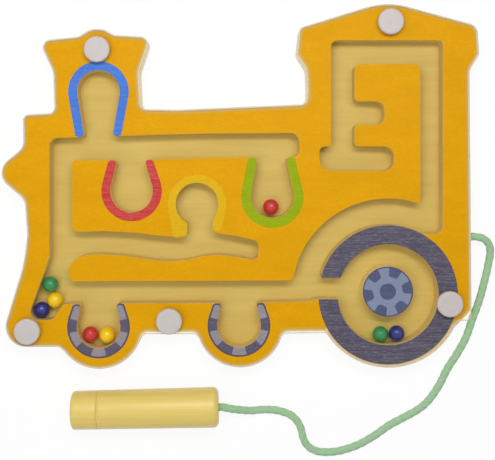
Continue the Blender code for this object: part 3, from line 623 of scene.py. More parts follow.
def thinning_ink(name, ink, worn, pores, fibres, tone):
    """The same ink where it thins out over the board's softened edge, from full colour through tan to
    bare cream wood. The attribute ink_share is 0 at the edge and 1 where the ink is whole."""
    made, tree = new_material(name)
    base, fibre = ink_on_grain(tree, ink, worn, pores, fibres, tone)
    share = add_node(tree, "ShaderNodeAttribute", attribute_name="ink_share").outputs["Fac"]
    wavering = streaks(tree, along=0.0040, across=0.0012, low=0.2, high=0.8, offset=1.7)
    spread = add_node(tree, "ShaderNodeMapRange", {"Value": wavering, "To Min": -0.05, "To Max": 0.05})
    reach = add_node(tree, "ShaderNodeMath", {0: share, 1: spread}, operation="ADD", use_clamp=True)
    ramp = add_node(tree, "ShaderNodeValToRGB", {"Fac": reach})
    for i, (where, colour) in enumerate(THINNING_STOPS):
        stop = ramp.color_ramp.elements[i] if i < 2 else ramp.color_ramp.elements.new(where)
        stop.position = where
        stop.color = srgb(colour)
    whole = add_node(tree, "ShaderNodeMapRange", {
        "Value": reach, "From Min": 0.72, "From Max": 0.98}, clamp=True)
    thin = add_node(tree, "ShaderNodeMix", {0: whole, 6: ramp, 7: base}, data_type="RGBA")
    return opaque(made, tree, thin.outputs[2], fibre, INK_RELIEF, INK_LOOKS)


def sanded_plywood(name, pale, deep):
    """Sanded pale plywood face: soft long grain with fine darker fibres, almost without gloss."""
    made, tree = new_material(name)
    figure = streaks(tree, along=0.060, across=0.0055, low=0.3, high=0.7, turned=0.02)
    fibre = streaks(tree, along=0.010, across=0.0006, low=0.35, high=0.75, detail=5.0, offset=2.3)
    base = laid_over(tree, srgb(pale), figure, 1.0, srgb(deep))
    base = laid_over(tree, base, fibre, 0.25, srgb(deep))
    return opaque(made, tree, base, fibre, depth=0.00003, looks={
        "Roughness": 0.55, "Specular IOR Level": 0.15})


def plywood_edge(name, pale, deep):
    """Routed and sanded edge of plywood: plies about 1.4 mm thick, every other one end grain."""
    made, tree = new_material(name)
    place = add_node(tree, "ShaderNodeTexCoord").outputs["Object"]
    height = add_node(tree, "ShaderNodeSeparateXYZ", {0: place}).outputs[2]
    turns = add_node(tree, "ShaderNodeMath", {0: height, 1: math.pi / PLY}, operation="MULTIPLY")
    wave = add_node(tree, "ShaderNodeMath", {0: turns}, operation="SINE")
    layer = add_node(tree, "ShaderNodeMapRange", {
        "Value": wave, "From Min": -0.35, "From Max": 0.35}, clamp=True)
    speck = speckle(tree, size=0.0007, detail=4.0)
    base = laid_over(tree, srgb(pale), layer, 0.55, srgb(deep))
    base = laid_over(tree, base, speck, 0.3, srgb(deep))
    return opaque(made, tree, base, speck, depth=0.00006, looks={
        "Roughness": 0.7, "Specular IOR Level": 0.15})


def cast_acrylic(name):
    """Clear cast acrylic sheet. Seen straight on it hardly shows; it mirrors at low angles."""
    made, tree = new_material(name)
    slant = add_node(tree, "ShaderNodeLayerWeight", {"Blend": 0.5}).outputs["Facing"]
    mirrored = add_node(tree, "ShaderNodeMath", {0: slant, 1: 6.0}, operation="POWER")
    gloss = add_node(tree, "ShaderNodeBsdfGlossy", {"Color": (1, 1, 1, 1), "Roughness": 0.06})
    clear = add_node(tree, "ShaderNodeBsdfTransparent", {"Color": srgb("#fefefd")})
    shader = add_node(tree, "ShaderNodeMixShader", {0: mirrored, 1: clear, 2: gloss})
    finish_surface(tree, shader)
    return made


def sawn_acrylic(name, pale, deep):
    """The sheet's sawn edge, frosted by saw marks. Its warm tint is painted light: the wood seen
    through it.
    """
    made, tree = new_material(name)
    marks = speckle(tree, size=0.0009, detail=3.0)
    relief = add_node(tree, "ShaderNodeBump", {"Height": marks, "Distance": 0.00003})
    frost = add_node(tree, "ShaderNodeBsdfPrincipled", {
        "Base Color": laid_over(tree, srgb(pale), marks, 0.8, srgb(deep)), "Normal": relief,
        "Roughness": 0.5})
    clear = add_node(tree, "ShaderNodeBsdfTransparent", {"Color": srgb("#fdf8ec")})
    shader = add_node(tree, "ShaderNodeMixShader", {0: 0.6, 1: clear, 2: frost})
    finish_surface(tree, shader)
    return made


def moulded_plastic(name, colour, shade):
    """Injection-moulded off-white polypropylene with a fine spark-eroded texture."""
    made, tree = new_material(name)
    eroded = speckle(tree, size=0.0006, detail=2.0)
    base = laid_over(tree, srgb(colour), speckle(tree, size=0.006, detail=2.0), 1.0, srgb(shade))
    return opaque(made, tree, base, eroded, depth=0.00002, looks={
        "Roughness": 0.42, "Specular IOR Level": 0.25, "Subsurface Weight": 0.15,
        "Subsurface Radius": (0.001, 0.0009, 0.0008), "Subsurface Scale": 1.0})


def varnished_beech(name, pale, deep, fleck):
    """Turned beech under clear yellowed varnish: straight grain along the wand, with the short dark
    flecks of its rays, about 1.5 by 0.3 mm, and a smooth satin coat over them."""
    made, tree = new_material(name)
    figure = streaks(tree, along=0.050, across=0.0022, low=0.3, high=0.7)
    rays = streaks(tree, along=0.0022, across=0.0004, low=0.60, high=0.74, detail=2.0, offset=5.0)
    base = laid_over(tree, srgb(pale), figure, 1.0, srgb(deep))
    base = laid_over(tree, base, rays, 0.25, srgb(fleck))
    return opaque(made, tree, base, figure, depth=0.00002, looks={
        "Roughness": 0.45, "Specular IOR Level": 0.4, "Coat Weight": 0.8, "Coat Roughness": 0.4})


def enamelled_steel(name, colour, thin):
    """Steel ball dipped in enamel: a glossy coat on matt colour, thinner and paler in clouds."""
    made, tree = new_material(name)
    base = laid_over(tree, srgb(colour), speckle(tree, size=0.004, detail=2.0), 0.3, srgb(thin))
    return opaque(made, tree, base, speckle(tree, size=0.0008, detail=5.0), depth=0.00001, looks={
        "Roughness": 0.4, "Specular IOR Level": 0.05, "Coat Weight": 1.0, "Coat Roughness": 0.2})


def plated_steel(name, colour, roughness):
    """Bright plated steel with the fine rings that turning leaves."""
    made, tree = new_material(name)
    place = add_node(tree, "ShaderNodeTexCoord")
    rings = add_node(tree, "ShaderNodeTexWave", {
        "Vector": place.outputs["Object"], "Scale": 1 / 0.0004, "Distortion": 0.4},
        wave_type="BANDS", bands_direction="Z").outputs["Fac"]
    return opaque(made, tree, srgb(colour), rings, depth=0.00001, looks={
        "Metallic": 1.0, "Roughness": roughness})


def spun_yarn(name, light, deep, dust, worn):
    """Twisted cotton cord: each strand shows its own fine yarns winding the other way round, 1.1 mm
    apart where the real ones are 0.5 mm, so that they show. It is matt, with paler fuzz and patches of
    wear about 9 mm across."""
    made, tree = new_material(name)
    lay = add_node(tree, "ShaderNodeAttribute", attribute_name="strand_lay")
    along_round = add_node(tree, "ShaderNodeSeparateXYZ", {0: lay.outputs["Vector"]})
    turns = add_node(tree, "ShaderNodeMath", {
        0: along_round.outputs[1], 1: YARNS_ROUND_STRAND}, operation="MULTIPLY")
    pitch = add_node(tree, "ShaderNodeMath", {0: along_round, 1: 1 / YARN_PITCH}, operation="MULTIPLY")
    phase = add_node(tree, "ShaderNodeMath", {0: turns, 1: pitch}, operation="SUBTRACT")
    angle = add_node(tree, "ShaderNodeMath", {0: phase, 1: math.tau}, operation="MULTIPLY")
    wave = add_node(tree, "ShaderNodeMath", {0: angle}, operation="SINE")
    yarn = add_node(tree, "ShaderNodeMapRange", {
        "Value": wave, "From Min": -1.0, "From Max": 1.0}, clamp=True)
    patch = add_node(tree, "ShaderNodeMapRange", {
        "Value": speckle(tree, size=0.009, detail=1.0), "From Min": 0.42, "From Max": 0.62},
        clamp=True)
    base = laid_over(tree, srgb(deep), yarn, 1.0, srgb(light))
    base = laid_over(tree, base, speckle(tree, size=0.0007, detail=4.0), 0.35, srgb(dust))
    base = laid_over(tree, base, patch, 0.5, srgb(worn))
    return opaque(made, tree, base, yarn, depth=0.00006, looks={
        "Roughness": 0.9, "Specular IOR Level": 0.1, "Sheen Weight": 0.25, "Sheen Roughness": 0.5,
        "Sheen Tint": srgb("#d5e6cf")})


# Meshes

def placed(name, data):
    """A new object in the scene."""
    made = bpy.data.objects.new(name, data)
    bpy.context.scene.collection.objects.link(made)
    return made


def add_piece(name, mesh, body="root", stands_for=()):
    made = placed(name, mesh)
    if stands_for:
        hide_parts(*stands_for)
    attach(made, body)
    return made


def mesh_from(shape, name, finishes):
    """A mesh with its finishes from a shape that is built up, which is then let go."""
    mesh = bpy.data.meshes.new(name)
    shape.to_mesh(mesh)
    shape.free()
    for finish in finishes:
        mesh.materials.append(finish)
    return mesh


def sheet_profile(bottom, top, edge, steps=3):
    """Heights and insets up the side of a sheet with both edges rounded."""
    turns = [math.pi / 2 * i / steps for i in range(steps + 1)]
    low = [(bottom + edge - edge * math.cos(a), edge - edge * math.sin(a)) for a in turns]
    hold = min(edge / 3, (top - bottom - 2 * edge) / 4)
    high = [(bottom + top - z, inset) for z, inset in reversed(low)]
    return low + [(bottom + edge + hold, 0.0), (top - edge - hold, 0.0)] + high


def band_between(shape, first, second):
    """The faces of a band between two rings of as many points."""
    count = len(first)
    return [shape.faces.new((first[i], first[(i + 1) % count], second[(i + 1) % count], second[i]))
            for i in range(count)]


def sheet_mesh(name, outlines, profile, finishes):
    """A closed sheet: its first outline is the outer one, the others are holes. The flat faces take the
    first finish, the outer side the second and the holes' walls the last."""
    lines = [inwards(outline, hole=i > 0) for i, outline in enumerate(outlines)]
    shape = bmesh.new()
    levels = []
    for z, inset in profile:
        moved = [moved_left(line, inset) if inset else line for line in lines]
        levels.append([[shape.verts.new((p.x, p.y, z)) for p in line] for line in moved])
    for lower, upper in zip(levels, levels[1:]):
        for number, (low_ring, high_ring) in enumerate(zip(lower, upper)):
            finish_index = len(finishes) - 1 if number else min(1, len(finishes) - 1)
            for side in band_between(shape, low_ring, high_ring):
                side.material_index = finish_index
                side.smooth = True
    for rings, upward in ((levels[0], False), (levels[-1], True)):
        flat = [vert for ring in rings for vert in ring]
        for triple in tessellate_polygon([[vert.co for vert in ring] for ring in rings]):
            a, b, c = (flat[i] for i in triple)
            rises = (b.co - a.co).cross(c.co - a.co).z > 0
            shape.faces.new((a, b, c) if rises == upward else (a, c, b))
    return mesh_from(shape, name, finishes)


def film_mesh(name, outlines, height, finish):
    """A film of ink that is sunk a little into what it is printed on."""
    edge = (height + FILM_SINK) * FILM_EDGE_SHARE
    top = PLATE_TOP + height
    profile = [(PLATE_TOP - FILM_SINK, 0.0), (top - edge, 0.0), (top, edge)]
    return sheet_mesh(name, outlines, profile, [finish])


def fading_mesh(edge_line, whole_line, finish):
    """The strip of ink along the outline. Its attribute ink_share is 0 at the edge and 1 inside."""
    bottom, top = PLATE_TOP - FILM_SINK, PLATE_TOP + FILM_HEIGHT
    shape = bmesh.new()
    ink_share = shape.verts.layers.float.new("ink_share")
    rings = []
    for line, z, share in ((edge_line, bottom, 0), (edge_line, top, 0),
                           (whole_line, top, 1), (whole_line, bottom, 1)):
        ring = [shape.verts.new((p.x, p.y, z)) for p in line]
        for vert in ring:
            vert[ink_share] = share
        rings.append(ring)
    for first, second in zip(rings, rings[1:] + rings[:1]):
        band_between(shape, first, second)
    return mesh_from(shape, "fading_print", [finish])


def joined(name, meshes):
    """One mesh from several, which keeps the finish of each."""
    shape = bmesh.new()
    finishes = []
    for mesh in meshes:
        start = len(shape.faces)
        shape.from_mesh(mesh)
        shape.faces.ensure_lookup_table()
        numbers = []
        for finish in mesh.materials:
            if finish not in finishes:
                finishes.append(finish)
            numbers.append(finishes.index(finish))
        for face in shape.faces[start:]:
            face.material_index = numbers[face.material_index]
    return mesh_from(shape, name, finishes)


def lathe_mesh(name, profile, steps, finish):
    """A shape turned round z from its profile, top to bottom on the outer side."""
    turns = [math.tau * i / steps for i in range(steps)]
    shape = bmesh.new()
    rings = []
    for radius, z in profile:
        rings.append([shape.verts.new((radius * math.cos(a), radius * math.sin(a), z))
                      for a in (turns if radius else [0])])
    for upper, lower in zip(rings, rings[1:]):
        for i in range(steps):
            j = (i + 1) % steps
            loop = list(dict.fromkeys((upper[i % len(upper)], lower[i % len(lower)],
                                       lower[j % len(lower)], upper[j % len(upper)])))
            if len(loop) > 2:
                shape.faces.new(loop).smooth = True
    return mesh_from(shape, name, [finish])


def rounded_edge(radius, z, round_radius, steps, upper):
    """The points of a turned profile's rounded outer edge, from the top down."""
    middle = radius - round_radius
    turns = [math.pi / 2 * i / steps for i in range(steps + 1)]
    if upper:
        return [(middle + round_radius * math.sin(a), z - round_radius + round_radius * math.cos(a))
                for a in turns]
    return [(middle + round_radius * math.cos(a), z + round_radius - round_radius * math.sin(a))
            for a in turns]


def solid_from(piece):
    """The piece's shape with its modifiers worked out, as a plain mesh."""
    bpy.context.view_layer.update()
    return bpy.data.meshes.new_from_object(piece.evaluated_get(bpy.context.evaluated_depsgraph_get()))


def geometry_tree(name, inputs):
    """A new node group that takes geometry and the named inputs, and what it is given."""
    tree = bpy.data.node_groups.new(name, "GeometryNodeTree")
    face = tree.interface
    face.new_socket("Geometry", in_out="INPUT", socket_type="NodeSocketGeometry")
    for label, kind, value in inputs:
        socket = face.new_socket(label, in_out="INPUT", socket_type=kind)
        if value is not None:
            socket.default_value = value
    face.new_socket("Geometry", in_out="OUTPUT", socket_type="NodeSocketGeometry")
    return tree, tree.nodes.new("NodeGroupInput").outputs


def dress_and_end(tree, geometry, finish):
    """Ends a node group with plain geometry in its finish."""
    real = add_node(tree, "GeometryNodeRealizeInstances", {"Geometry": geometry})
    dressed = add_node(tree, "GeometryNodeSetMaterial", {"Geometry": real, "Material": finish})
    add_node(tree, "NodeGroupOutput", {"Geometry": dressed})


# Stage

def make_camera():
    view = bpy.data.cameras.new("overhead_camera")
    view.lens = CAMERA_LENS
    view.sensor_width = CAMERA_SENSOR
    view.shift_x, view.shift_y = CAMERA_SHIFT
    view.clip_start = CAMERA_NEAR
    camera = placed("overhead_camera", view)
    camera.location = CAMERA_PLACE
    bpy.context.scene.camera = camera


def any_of(tree, rays):
    """1 for the named kinds of ray, and 0 for the rest."""
    path = add_node(tree, "ShaderNodeLightPath")
    found = path.outputs[rays[0]]
    for ray in rays[1:]:
        found = add_node(tree, "ShaderNodeMath", {0: found, 1: path.outputs[ray]}, operation="MAXIMUM")
    return found


def make_stage():
    """A white table that keeps part of the shadow, in an even white surround, and the lamps."""
    seen = ("Is Camera Ray", "Is Glossy Ray", "Is Transmission Ray")
    finish, tree = new_material("white_table")
    matt = add_node(tree, "ShaderNodeBsdfDiffuse", {"Color": (*[TABLE_WHITE] * 3, 1)})
    glow = add_node(tree, "ShaderNodeEmission", {"Color": (1, 1, 1, 1), "Strength": 1.0})
    share = add_node(tree, "ShaderNodeMath", {
        0: any_of(tree, seen), 1: TABLE_GLOW_SHARE}, operation="MULTIPLY")
    shown = add_node(tree, "ShaderNodeMixShader", {0: share, 1: matt, 2: glow})
    finish_surface(tree, shown)
    shape = bmesh.new()
    bmesh.ops.create_grid(shape, x_segments=1, y_segments=1, size=TABLE_HALF,
                          matrix=Matrix.Translation((0, 0, -TABLE_DROP)))
    table = placed("table_top", mesh_from(shape, "table_top", [finish]))

    world = bpy.data.worlds.new("studio")
    bpy.context.scene.world = world
    world.use_nodes = True
    tree = world.node_tree
    tree.nodes.clear()
    strength = add_node(tree, "ShaderNodeMapRange", {
        "Value": any_of(tree, seen), "To Min": WORLD_SHARE, "To Max": 1.0})
    sky = add_node(tree, "ShaderNodeBackground", {"Color": (1, 1, 1, 1), "Strength": strength})
    add_node(tree, "ShaderNodeOutputWorld", {"Surface": sky})

    for name, place, aim, width, depth, power in LAMPS:
        light = bpy.data.lights.new(name, "AREA")
        light.shape = "ELLIPSE"
        light.size, light.size_y = width, depth
        light.energy = power
        lamp = placed(name, light)
        lamp.location = place
        lamp.rotation_euler = (Vector(place) - Vector(aim)).to_track_quat("Z", "Y").to_euler()
        lamp.visible_camera = False
        lamp.visible_glossy = name == "key_strip"


# Cord

def smooth_route(points, step):
    """Points at an even step along a smooth curve through the route's own points."""
    ends = [points[0] * 2 - points[1]] + points + [points[-1] * 2 - points[-2]]
    fine = []
    for p0, p1, p2, p3 in zip(ends, ends[1:], ends[2:], ends[3:]):
        for i in range(ROUTE_FINENESS):
            t = i / ROUTE_FINENESS
            fine.append((p1 * 2 + (p2 - p0) * t + (p0 * 2 - p1 * 5 + p2 * 4 - p3) * t ** 2
                         + (p1 * 3 - p0 - p2 * 3 + p3) * t ** 3) / 2)
    fine.append(points[-1])
    lengths = [0.0]
    for before, after in zip(fine, fine[1:]):
        lengths.append(lengths[-1] + (after - before).length)
    count = round(lengths[-1] / step)
    even, at_index = [], 0
    for i in range(count + 1):
        target = lengths[-1] * i / count
        while at_index < len(fine) - 2 and lengths[at_index + 1] < target:
            at_index += 1
        span = lengths[at_index + 1] - lengths[at_index]
        even.append(fine[at_index].lerp(fine[at_index + 1], (target - lengths[at_index]) / span))
    return even


def wand_frame():
    """The wand's tip and rear end in plan, and the direction from the one to the other."""
    tip, rear = at(WAND_TIP_SHARES), at(WAND_REAR_SHARES)
    along = (rear - tip).normalized()
    return rear - along * WAND_LENGTH, rear, along


def cord_route():
    """The cord's middle line: out of the board's edge, down to the table and round to the wand."""
    _, rear, along = wand_frame()
    lying = CORD_RADIUS + CORD_LIFT

    def raised(table, height):
        return [Vector((*at(row), lying + (height - lying) * row[2])) for row in table]

    start = Vector((REAR_EDGE - CORD_BORE_DEPTH + CORD_END_GAP, CORD_EXIT_SHARE * BOARD_WIDTH,
                    CORD_EXIT_HEIGHT))
    leaves = Vector((REAR_EDGE + CORD_RADIUS, start.y, CORD_EXIT_HEIGHT))
    inside = rear - along * (CORD_BORE_DEPTH - CORD_END_GAP)
    route = [start, start.lerp(leaves, 0.5), leaves]
    route += raised(ROUTE_FROM_BOARD_SHARES, CORD_EXIT_HEIGHT)
    route += [Vector((*at(row), lying)) for row in ROUTE_ON_TABLE_SHARES]
    route += raised(ROUTE_TO_WAND_SHARES, WAND_REAR_RADIUS)
    route += [Vector((*(rear + along * CORD_RADIUS / 2), WAND_REAR_RADIUS)),
              Vector((*inside, WAND_REAR_RADIUS))]
    return [Vector((p.x, p.y, max(p.z, lying))) for p in smooth_route(route, CORD_STEP)]


def strand_tree(finish):
    """Winds strands round the line they are given, with named sizes for the twist."""
    tree, given = geometry_tree("twisted_strands", [
        ("Strands", "NodeSocketInt", STRANDS), ("Strand radius", "NodeSocketFloat", STRAND_RADIUS),
        ("Orbit", "NodeSocketFloat", STRAND_ORBIT), ("Lay", "NodeSocketFloat", STRAND_LAY)])
    line = add_node(tree, "GeometryNodeMeshToCurve", {"Mesh": given["Geometry"]})
    copies = add_node(tree, "GeometryNodeDuplicateElements", {
        "Geometry": line, "Amount": given["Strands"]}, domain="SPLINE")
    walked = add_node(tree, "GeometryNodeSplineParameter").outputs["Length"]
    turns = add_node(tree, "ShaderNodeMath", {0: walked, 1: given["Lay"]}, operation="DIVIDE")
    number = add_node(tree, "GeometryNodeCaptureAttribute", {"Geometry": copies}, domain="POINT")
    number.capture_items.new("INT", "Number")
    tree.links.new(copies.outputs["Duplicate Index"], number.inputs["Number"])
    share = add_node(tree, "ShaderNodeMath", {
        0: number.outputs["Number"], 1: given["Strands"]}, operation="DIVIDE")
    phase = add_node(tree, "ShaderNodeMath", {0: turns, 1: share}, operation="ADD")
    turned = add_node(tree, "ShaderNodeMath", {0: phase, 1: math.tau}, operation="MULTIPLY")
    tangent = add_node(tree, "GeometryNodeInputTangent")
    normal = add_node(tree, "GeometryNodeInputNormal")
    across = add_node(tree, "ShaderNodeVectorMath", {0: tangent, 1: normal}, operation="CROSS_PRODUCT")
    sides = []
    for direction, function in ((normal, "COSINE"), (across, "SINE")):
        wave = add_node(tree, "ShaderNodeMath", {0: turned}, operation=function)
        reach = add_node(tree, "ShaderNodeMath", {0: wave, 1: given["Orbit"]}, operation="MULTIPLY")
        sides.append(add_node(tree, "ShaderNodeVectorMath", {
            0: direction, "Scale": reach}, operation="SCALE"))
    offset = add_node(tree, "ShaderNodeVectorMath", {0: sides[0], 1: sides[1]}, operation="ADD")
    wound = add_node(tree, "GeometryNodeSetPosition", {"Geometry": number, "Offset": offset})
    ring = add_node(tree, "GeometryNodeCurvePrimitiveCircle", {
        "Resolution": STRAND_SIDES, "Radius": given["Strand radius"]}, mode="RADIUS")
    held = {}
    for name, curve, measure in (("Walked", wound, "Length"), ("Round", ring, "Factor")):
        held[name] = add_node(tree, "GeometryNodeCaptureAttribute", {"Geometry": curve}, domain="POINT")
        held[name].capture_items.new("FLOAT", name)
        place = add_node(tree, "GeometryNodeSplineParameter")
        tree.links.new(place.outputs[measure], held[name].inputs[name])
    tube = add_node(tree, "GeometryNodeCurveToMesh", {
        "Curve": held["Walked"], "Profile Curve": held["Round"], "Fill Caps": True})
    lay = add_node(tree, "ShaderNodeCombineXYZ", {
        0: held["Walked"].outputs["Walked"], 1: held["Round"].outputs["Round"]})
    kept = add_node(tree, "GeometryNodeStoreNamedAttribute", {
        "Geometry": tube, "Name": "strand_lay", "Value": lay}, data_type="FLOAT_VECTOR", domain="POINT")
    smooth = add_node(tree, "GeometryNodeSetShadeSmooth", {"Geometry": kept})
    dress_and_end(tree, smooth, finish)
    return tree


def make_cord(finishes):
    path = cord_route()
    line = bpy.data.meshes.new("cord_line")
    line.from_pydata(path, [(i, i + 1) for i in range(len(path) - 1)], [])
    guide = placed("cord_line", line)
    winding = guide.modifiers.new("twisted_strands", "NODES")
    winding.node_group = strand_tree(finishes["cord"])
    mesh = solid_from(guide)
    bpy.data.objects.remove(guide, do_unlink=True)
    mesh.name = "twisted_cord"
    cord = placed("twisted_cord", mesh)
    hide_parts("cord")
    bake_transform(cord)


# Board

def fade_inset(point):
    """How far in the yellow print is whole: further along the boiler's top, and well under the dark
    ring round the large wheel, so that the rim beyond the ring stays pale."""
    aside, up = ((point[i] - FADE_TOP_MIDDLE[i]) / FADE_TOP_REACH[i] for i in (0, 1))
    above = max(0.0, 1 - aside ** 4) * max(0.0, 1 - up ** 4)
    wheel = at(LARGE_WHEEL_SHARES)
    low = min(1.0, max(0.0, (wheel.y - FADE_RING_START - point.y) / FADE_RING_REACH))
    near = 1.0 if (point - wheel).length < LARGE_WHEEL_RADIUS + WOOD_EDGE else 0.0
    return FADE_WIDTH + FADE_EXTRA * above + FADE_RING_EXTRA * low * near


def bores(extra=0.0):
    return [circle(at(place), BORE_RADIUS + extra) for place in SCREW_SHARES]


def drill_cord_hole(plate, finish):
    """Drills the hole that holds the cord's end into the board's rear edge."""
    shape = bmesh.new()
    bmesh.ops.create_cone(shape, cap_ends=True, segments=32, radius1=CORD_HOLE_RADIUS,
                          radius2=CORD_HOLE_RADIUS, depth=CORD_BORE_DEPTH * 2)
    place = Matrix.Translation((REAR_EDGE, CORD_EXIT_SHARE * BOARD_WIDTH, CORD_EXIT_HEIGHT))
    shape.transform(place @ Matrix.Rotation(math.radians(90), 4, "Y"))
    drill = placed("cord_drill", mesh_from(shape, "cord_drill", [finish]))
    blank = placed("plate_blank", plate)
    hole = blank.modifiers.new("cord_hole", "BOOLEAN")
    hole.operation = "DIFFERENCE"
    hole.solver = "EXACT"
    hole.material_mode = "TRANSFER"
    hole.object = drill
    drilled = solid_from(blank)
    for piece in (drill, blank):
        bpy.data.objects.remove(piece, do_unlink=True)
    return drilled


def horseshoe(mouth, head, inner, outer, legs, shape=bay):
    """The inner and outer line of a printed horseshoe, both from its first tip to its last."""
    first, last = at(mouth[0]), at(mouth[1])
    centre = at(head)
    aside = (first - last).normalized()
    back = (centre - (first + last) / 2).normalized() * FILM_INSET
    inner_line = shape(first + aside * FILM_INSET + back, last - aside * FILM_INSET + back, centre,
                       inner + FILM_INSET)
    outer_line = bay(first + aside * legs[0] + back, last - aside * legs[1] + back, centre, outer)
    return inner_line, outer_line


def stretch_between(line, centre, far, start, end):
    """The part of a horseshoe's line whose bearing from the middle lies between two turns from far."""
    def turn(point):
        angle = bearing(centre, point) - far
        return (angle + math.pi) % math.tau - math.pi

    turns = [turn(point) for point in line]
    if turns[0] > turns[-1]:
        line, turns = line[::-1], turns[::-1]
    kept = []
    for i, point in enumerate(line):
        if i:
            for limit in (start, end):
                if turns[i - 1] < limit < turns[i]:
                    share = (limit - turns[i - 1]) / (turns[i] - turns[i - 1])
                    kept.append(line[i - 1].lerp(point, share))
        if start <= turns[i] <= end:
            kept.append(point)
    return kept


def shortened(line, cut):
    """The line without a stretch of the given length at its start."""
    while (line[1] - line[0]).length < cut:
        cut -= (line[1] - line[0]).length
        line = line[1:]
    return [line[0].lerp(line[1], cut / (line[1] - line[0]).length)] + line[1:]


def strip_outline(inner_line, outer_line, start_round, end_round):
    """A closed strip between two lines that run the same way, with its corners rounded."""
    outline = [(point, 0.0) for point in outer_line] + [(point, 0.0) for point in reversed(inner_line)]
    count = len(outer_line)
    for i, radius in ((0, start_round), (count - 1, end_round), (count, end_round), (-1, start_round)):
        outline[i] = (outline[i][0], radius)
    return rounded(outline)


def wheel_films(name, mouth, head, finishes):
    """A wheel's dark outline, with nine light and dark blocks printed along it."""
    centre = at(head)
    far = bearing(centre, centre * 2 - (at(mouth[0]) + at(mouth[1])) / 2)
    whole = horseshoe(mouth, head, POCKET_RADIUS, WHEEL_PRINT_RADIUS, (WHEEL_LEG, WHEEL_LEG))
    films = [film_mesh(name + "_line", [strip_outline(*whole, SHOE_TIP_ROUND, SHOE_TIP_ROUND)],
                       LINE_HEIGHT, finishes["wheel_line"])]
    leg = WHEEL_LEG - WHEEL_LINE
    band = horseshoe(mouth, head, POCKET_RADIUS, WHEEL_PRINT_RADIUS - WHEEL_LINE, (leg, leg))
    inner, outer = (shortened(shortened(line, WHEEL_LINE)[::-1], WHEEL_LINE)[::-1] for line in band)
    for number, (start, end) in enumerate(zip(WHEEL_BLOCK_ANGLES, WHEEL_BLOCK_ANGLES[1:])):
        start_round = BLOCK_TIP_ROUND if number == 0 else BLOCK_ROUND
        end_round = BLOCK_TIP_ROUND if number == len(WHEEL_BLOCK_ANGLES) - 2 else BLOCK_ROUND
        strip = strip_outline(stretch_between(inner, centre, far, start, end),
                              stretch_between(outer, centre, far, start, end), start_round, end_round)
        finish = finishes["wheel_dark" if number % 2 else "wheel_light"]
        films.append(film_mesh(f"{name}_block_{number}", [strip], BAND_HEIGHT, finish))
    return joined(name + "_print", films)


def ring_outline():
    """The print on the large wheel's rim, from its upper flat end round to its lower one."""
    centre = at(RING_SHARES)
    inner = RING_RADIUS + FILM_INSET
    top = at(RING_END_SHARES[0]).y + FILM_INSET
    low = at(RING_LOW_END_SHARES[0]).y - FILM_INSET

    def side(radius, y):
        return math.pi - math.asin((y - centre.y) / radius)

    near, wide = RING_OUTER_RADIUS - FILM_INSET, RING_OUTER_RADIUS
    upper = arc(centre, near, side(near, top), RING_LEAVES_CHANNEL - side(near, top))
    rest = arc(centre, wide, RING_LEAVES_CHANNEL, side(wide, low) - math.tau - RING_LEAVES_CHANNEL)
    back = arc(centre, inner, side(inner, low) - math.tau,
               side(inner, top) - side(inner, low) + math.tau)
    outline = [(point, 0.0) for point in upper + rest[1:]] + [(point, 0.0) for point in back]
    outline[0] = (outline[0][0], RING_TIP_ROUND)
    outline[-1] = (outline[-1][0], RING_TIP_ROUND)
    return rounded(outline)


def gear_outline(centre, radius, bottom, bottom_half, rim_half, first_gap, teeth):
    """A gear whose gaps widen outwards from soft-cornered bottoms."""
    outline = []
    reach = math.asin(rim_half / radius)
    for number in range(teeth):
        angle = first_gap + math.tau * number / teeth
        along = towards(angle)
        aside = Vector((-along.y, along.x))
        rim = along * math.sqrt(radius ** 2 - rim_half ** 2)
        outline += [(centre + rim - aside * rim_half, GEAR_TIP_ROUND),
                    (centre + along * bottom - aside * bottom_half, GEAR_BOTTOM_ROUND),
                    (centre + along * bottom + aside * bottom_half, GEAR_BOTTOM_ROUND),
                    (centre + rim + aside * rim_half, GEAR_TIP_ROUND)]
        outline += [(point, 0.0) for point in
                    arc(centre, radius, angle + reach, math.tau / teeth - 2 * reach)[1:-1]]
    return rounded(outline)


def add_sheet(name, outlines, profile, finishes, node):
    """A sheet as a piece that stands for one node."""
    add_piece(name, sheet_mesh(name, outlines, profile, finishes), stands_for=[node])


def add_film(name, outlines, height, finish):
    """A film of ink as a piece of its own."""
    add_piece(name, film_mesh(name, outlines, height, finish))


def make_hub(finishes):
    """The island in the large wheel's ring, with its printed gear."""
    centre = at(HUB_SHARES)
    add_sheet("hub_disc", [circle(centre, HUB_RADIUS)],
              sheet_profile(PLATE_BOTTOM, PLATE_TOP, WOOD_EDGE), [finishes["hub_wall"]],
              "wheel_hub")
    gear = gear_outline(centre, radius=0.0149, bottom=0.0092, bottom_half=0.0027, rim_half=0.0040,
                        first_gap=math.radians(10.6), teeth=6)
    films = []
    for name, outline, height, finish in (
            ("hub_line", circle(centre, HUB_RADIUS - FILM_INSET), HUB_LINE_HEIGHT, "wheel_line"),
            ("hub_ground", circle(centre, HUB_RADIUS - HUB_LINE), FILM_HEIGHT, "hub_dark"),
            ("hub_gear", gear, BAND_HEIGHT, "hub_light"),
            ("hub_middle", circle(centre, HUB_MIDDLE_RADIUS), HUB_MIDDLE_HEIGHT, "hub_dark")):
        films.append(film_mesh(name, [outline], height, finishes[finish]))
    add_piece("hub_print", joined("hub_print", films))


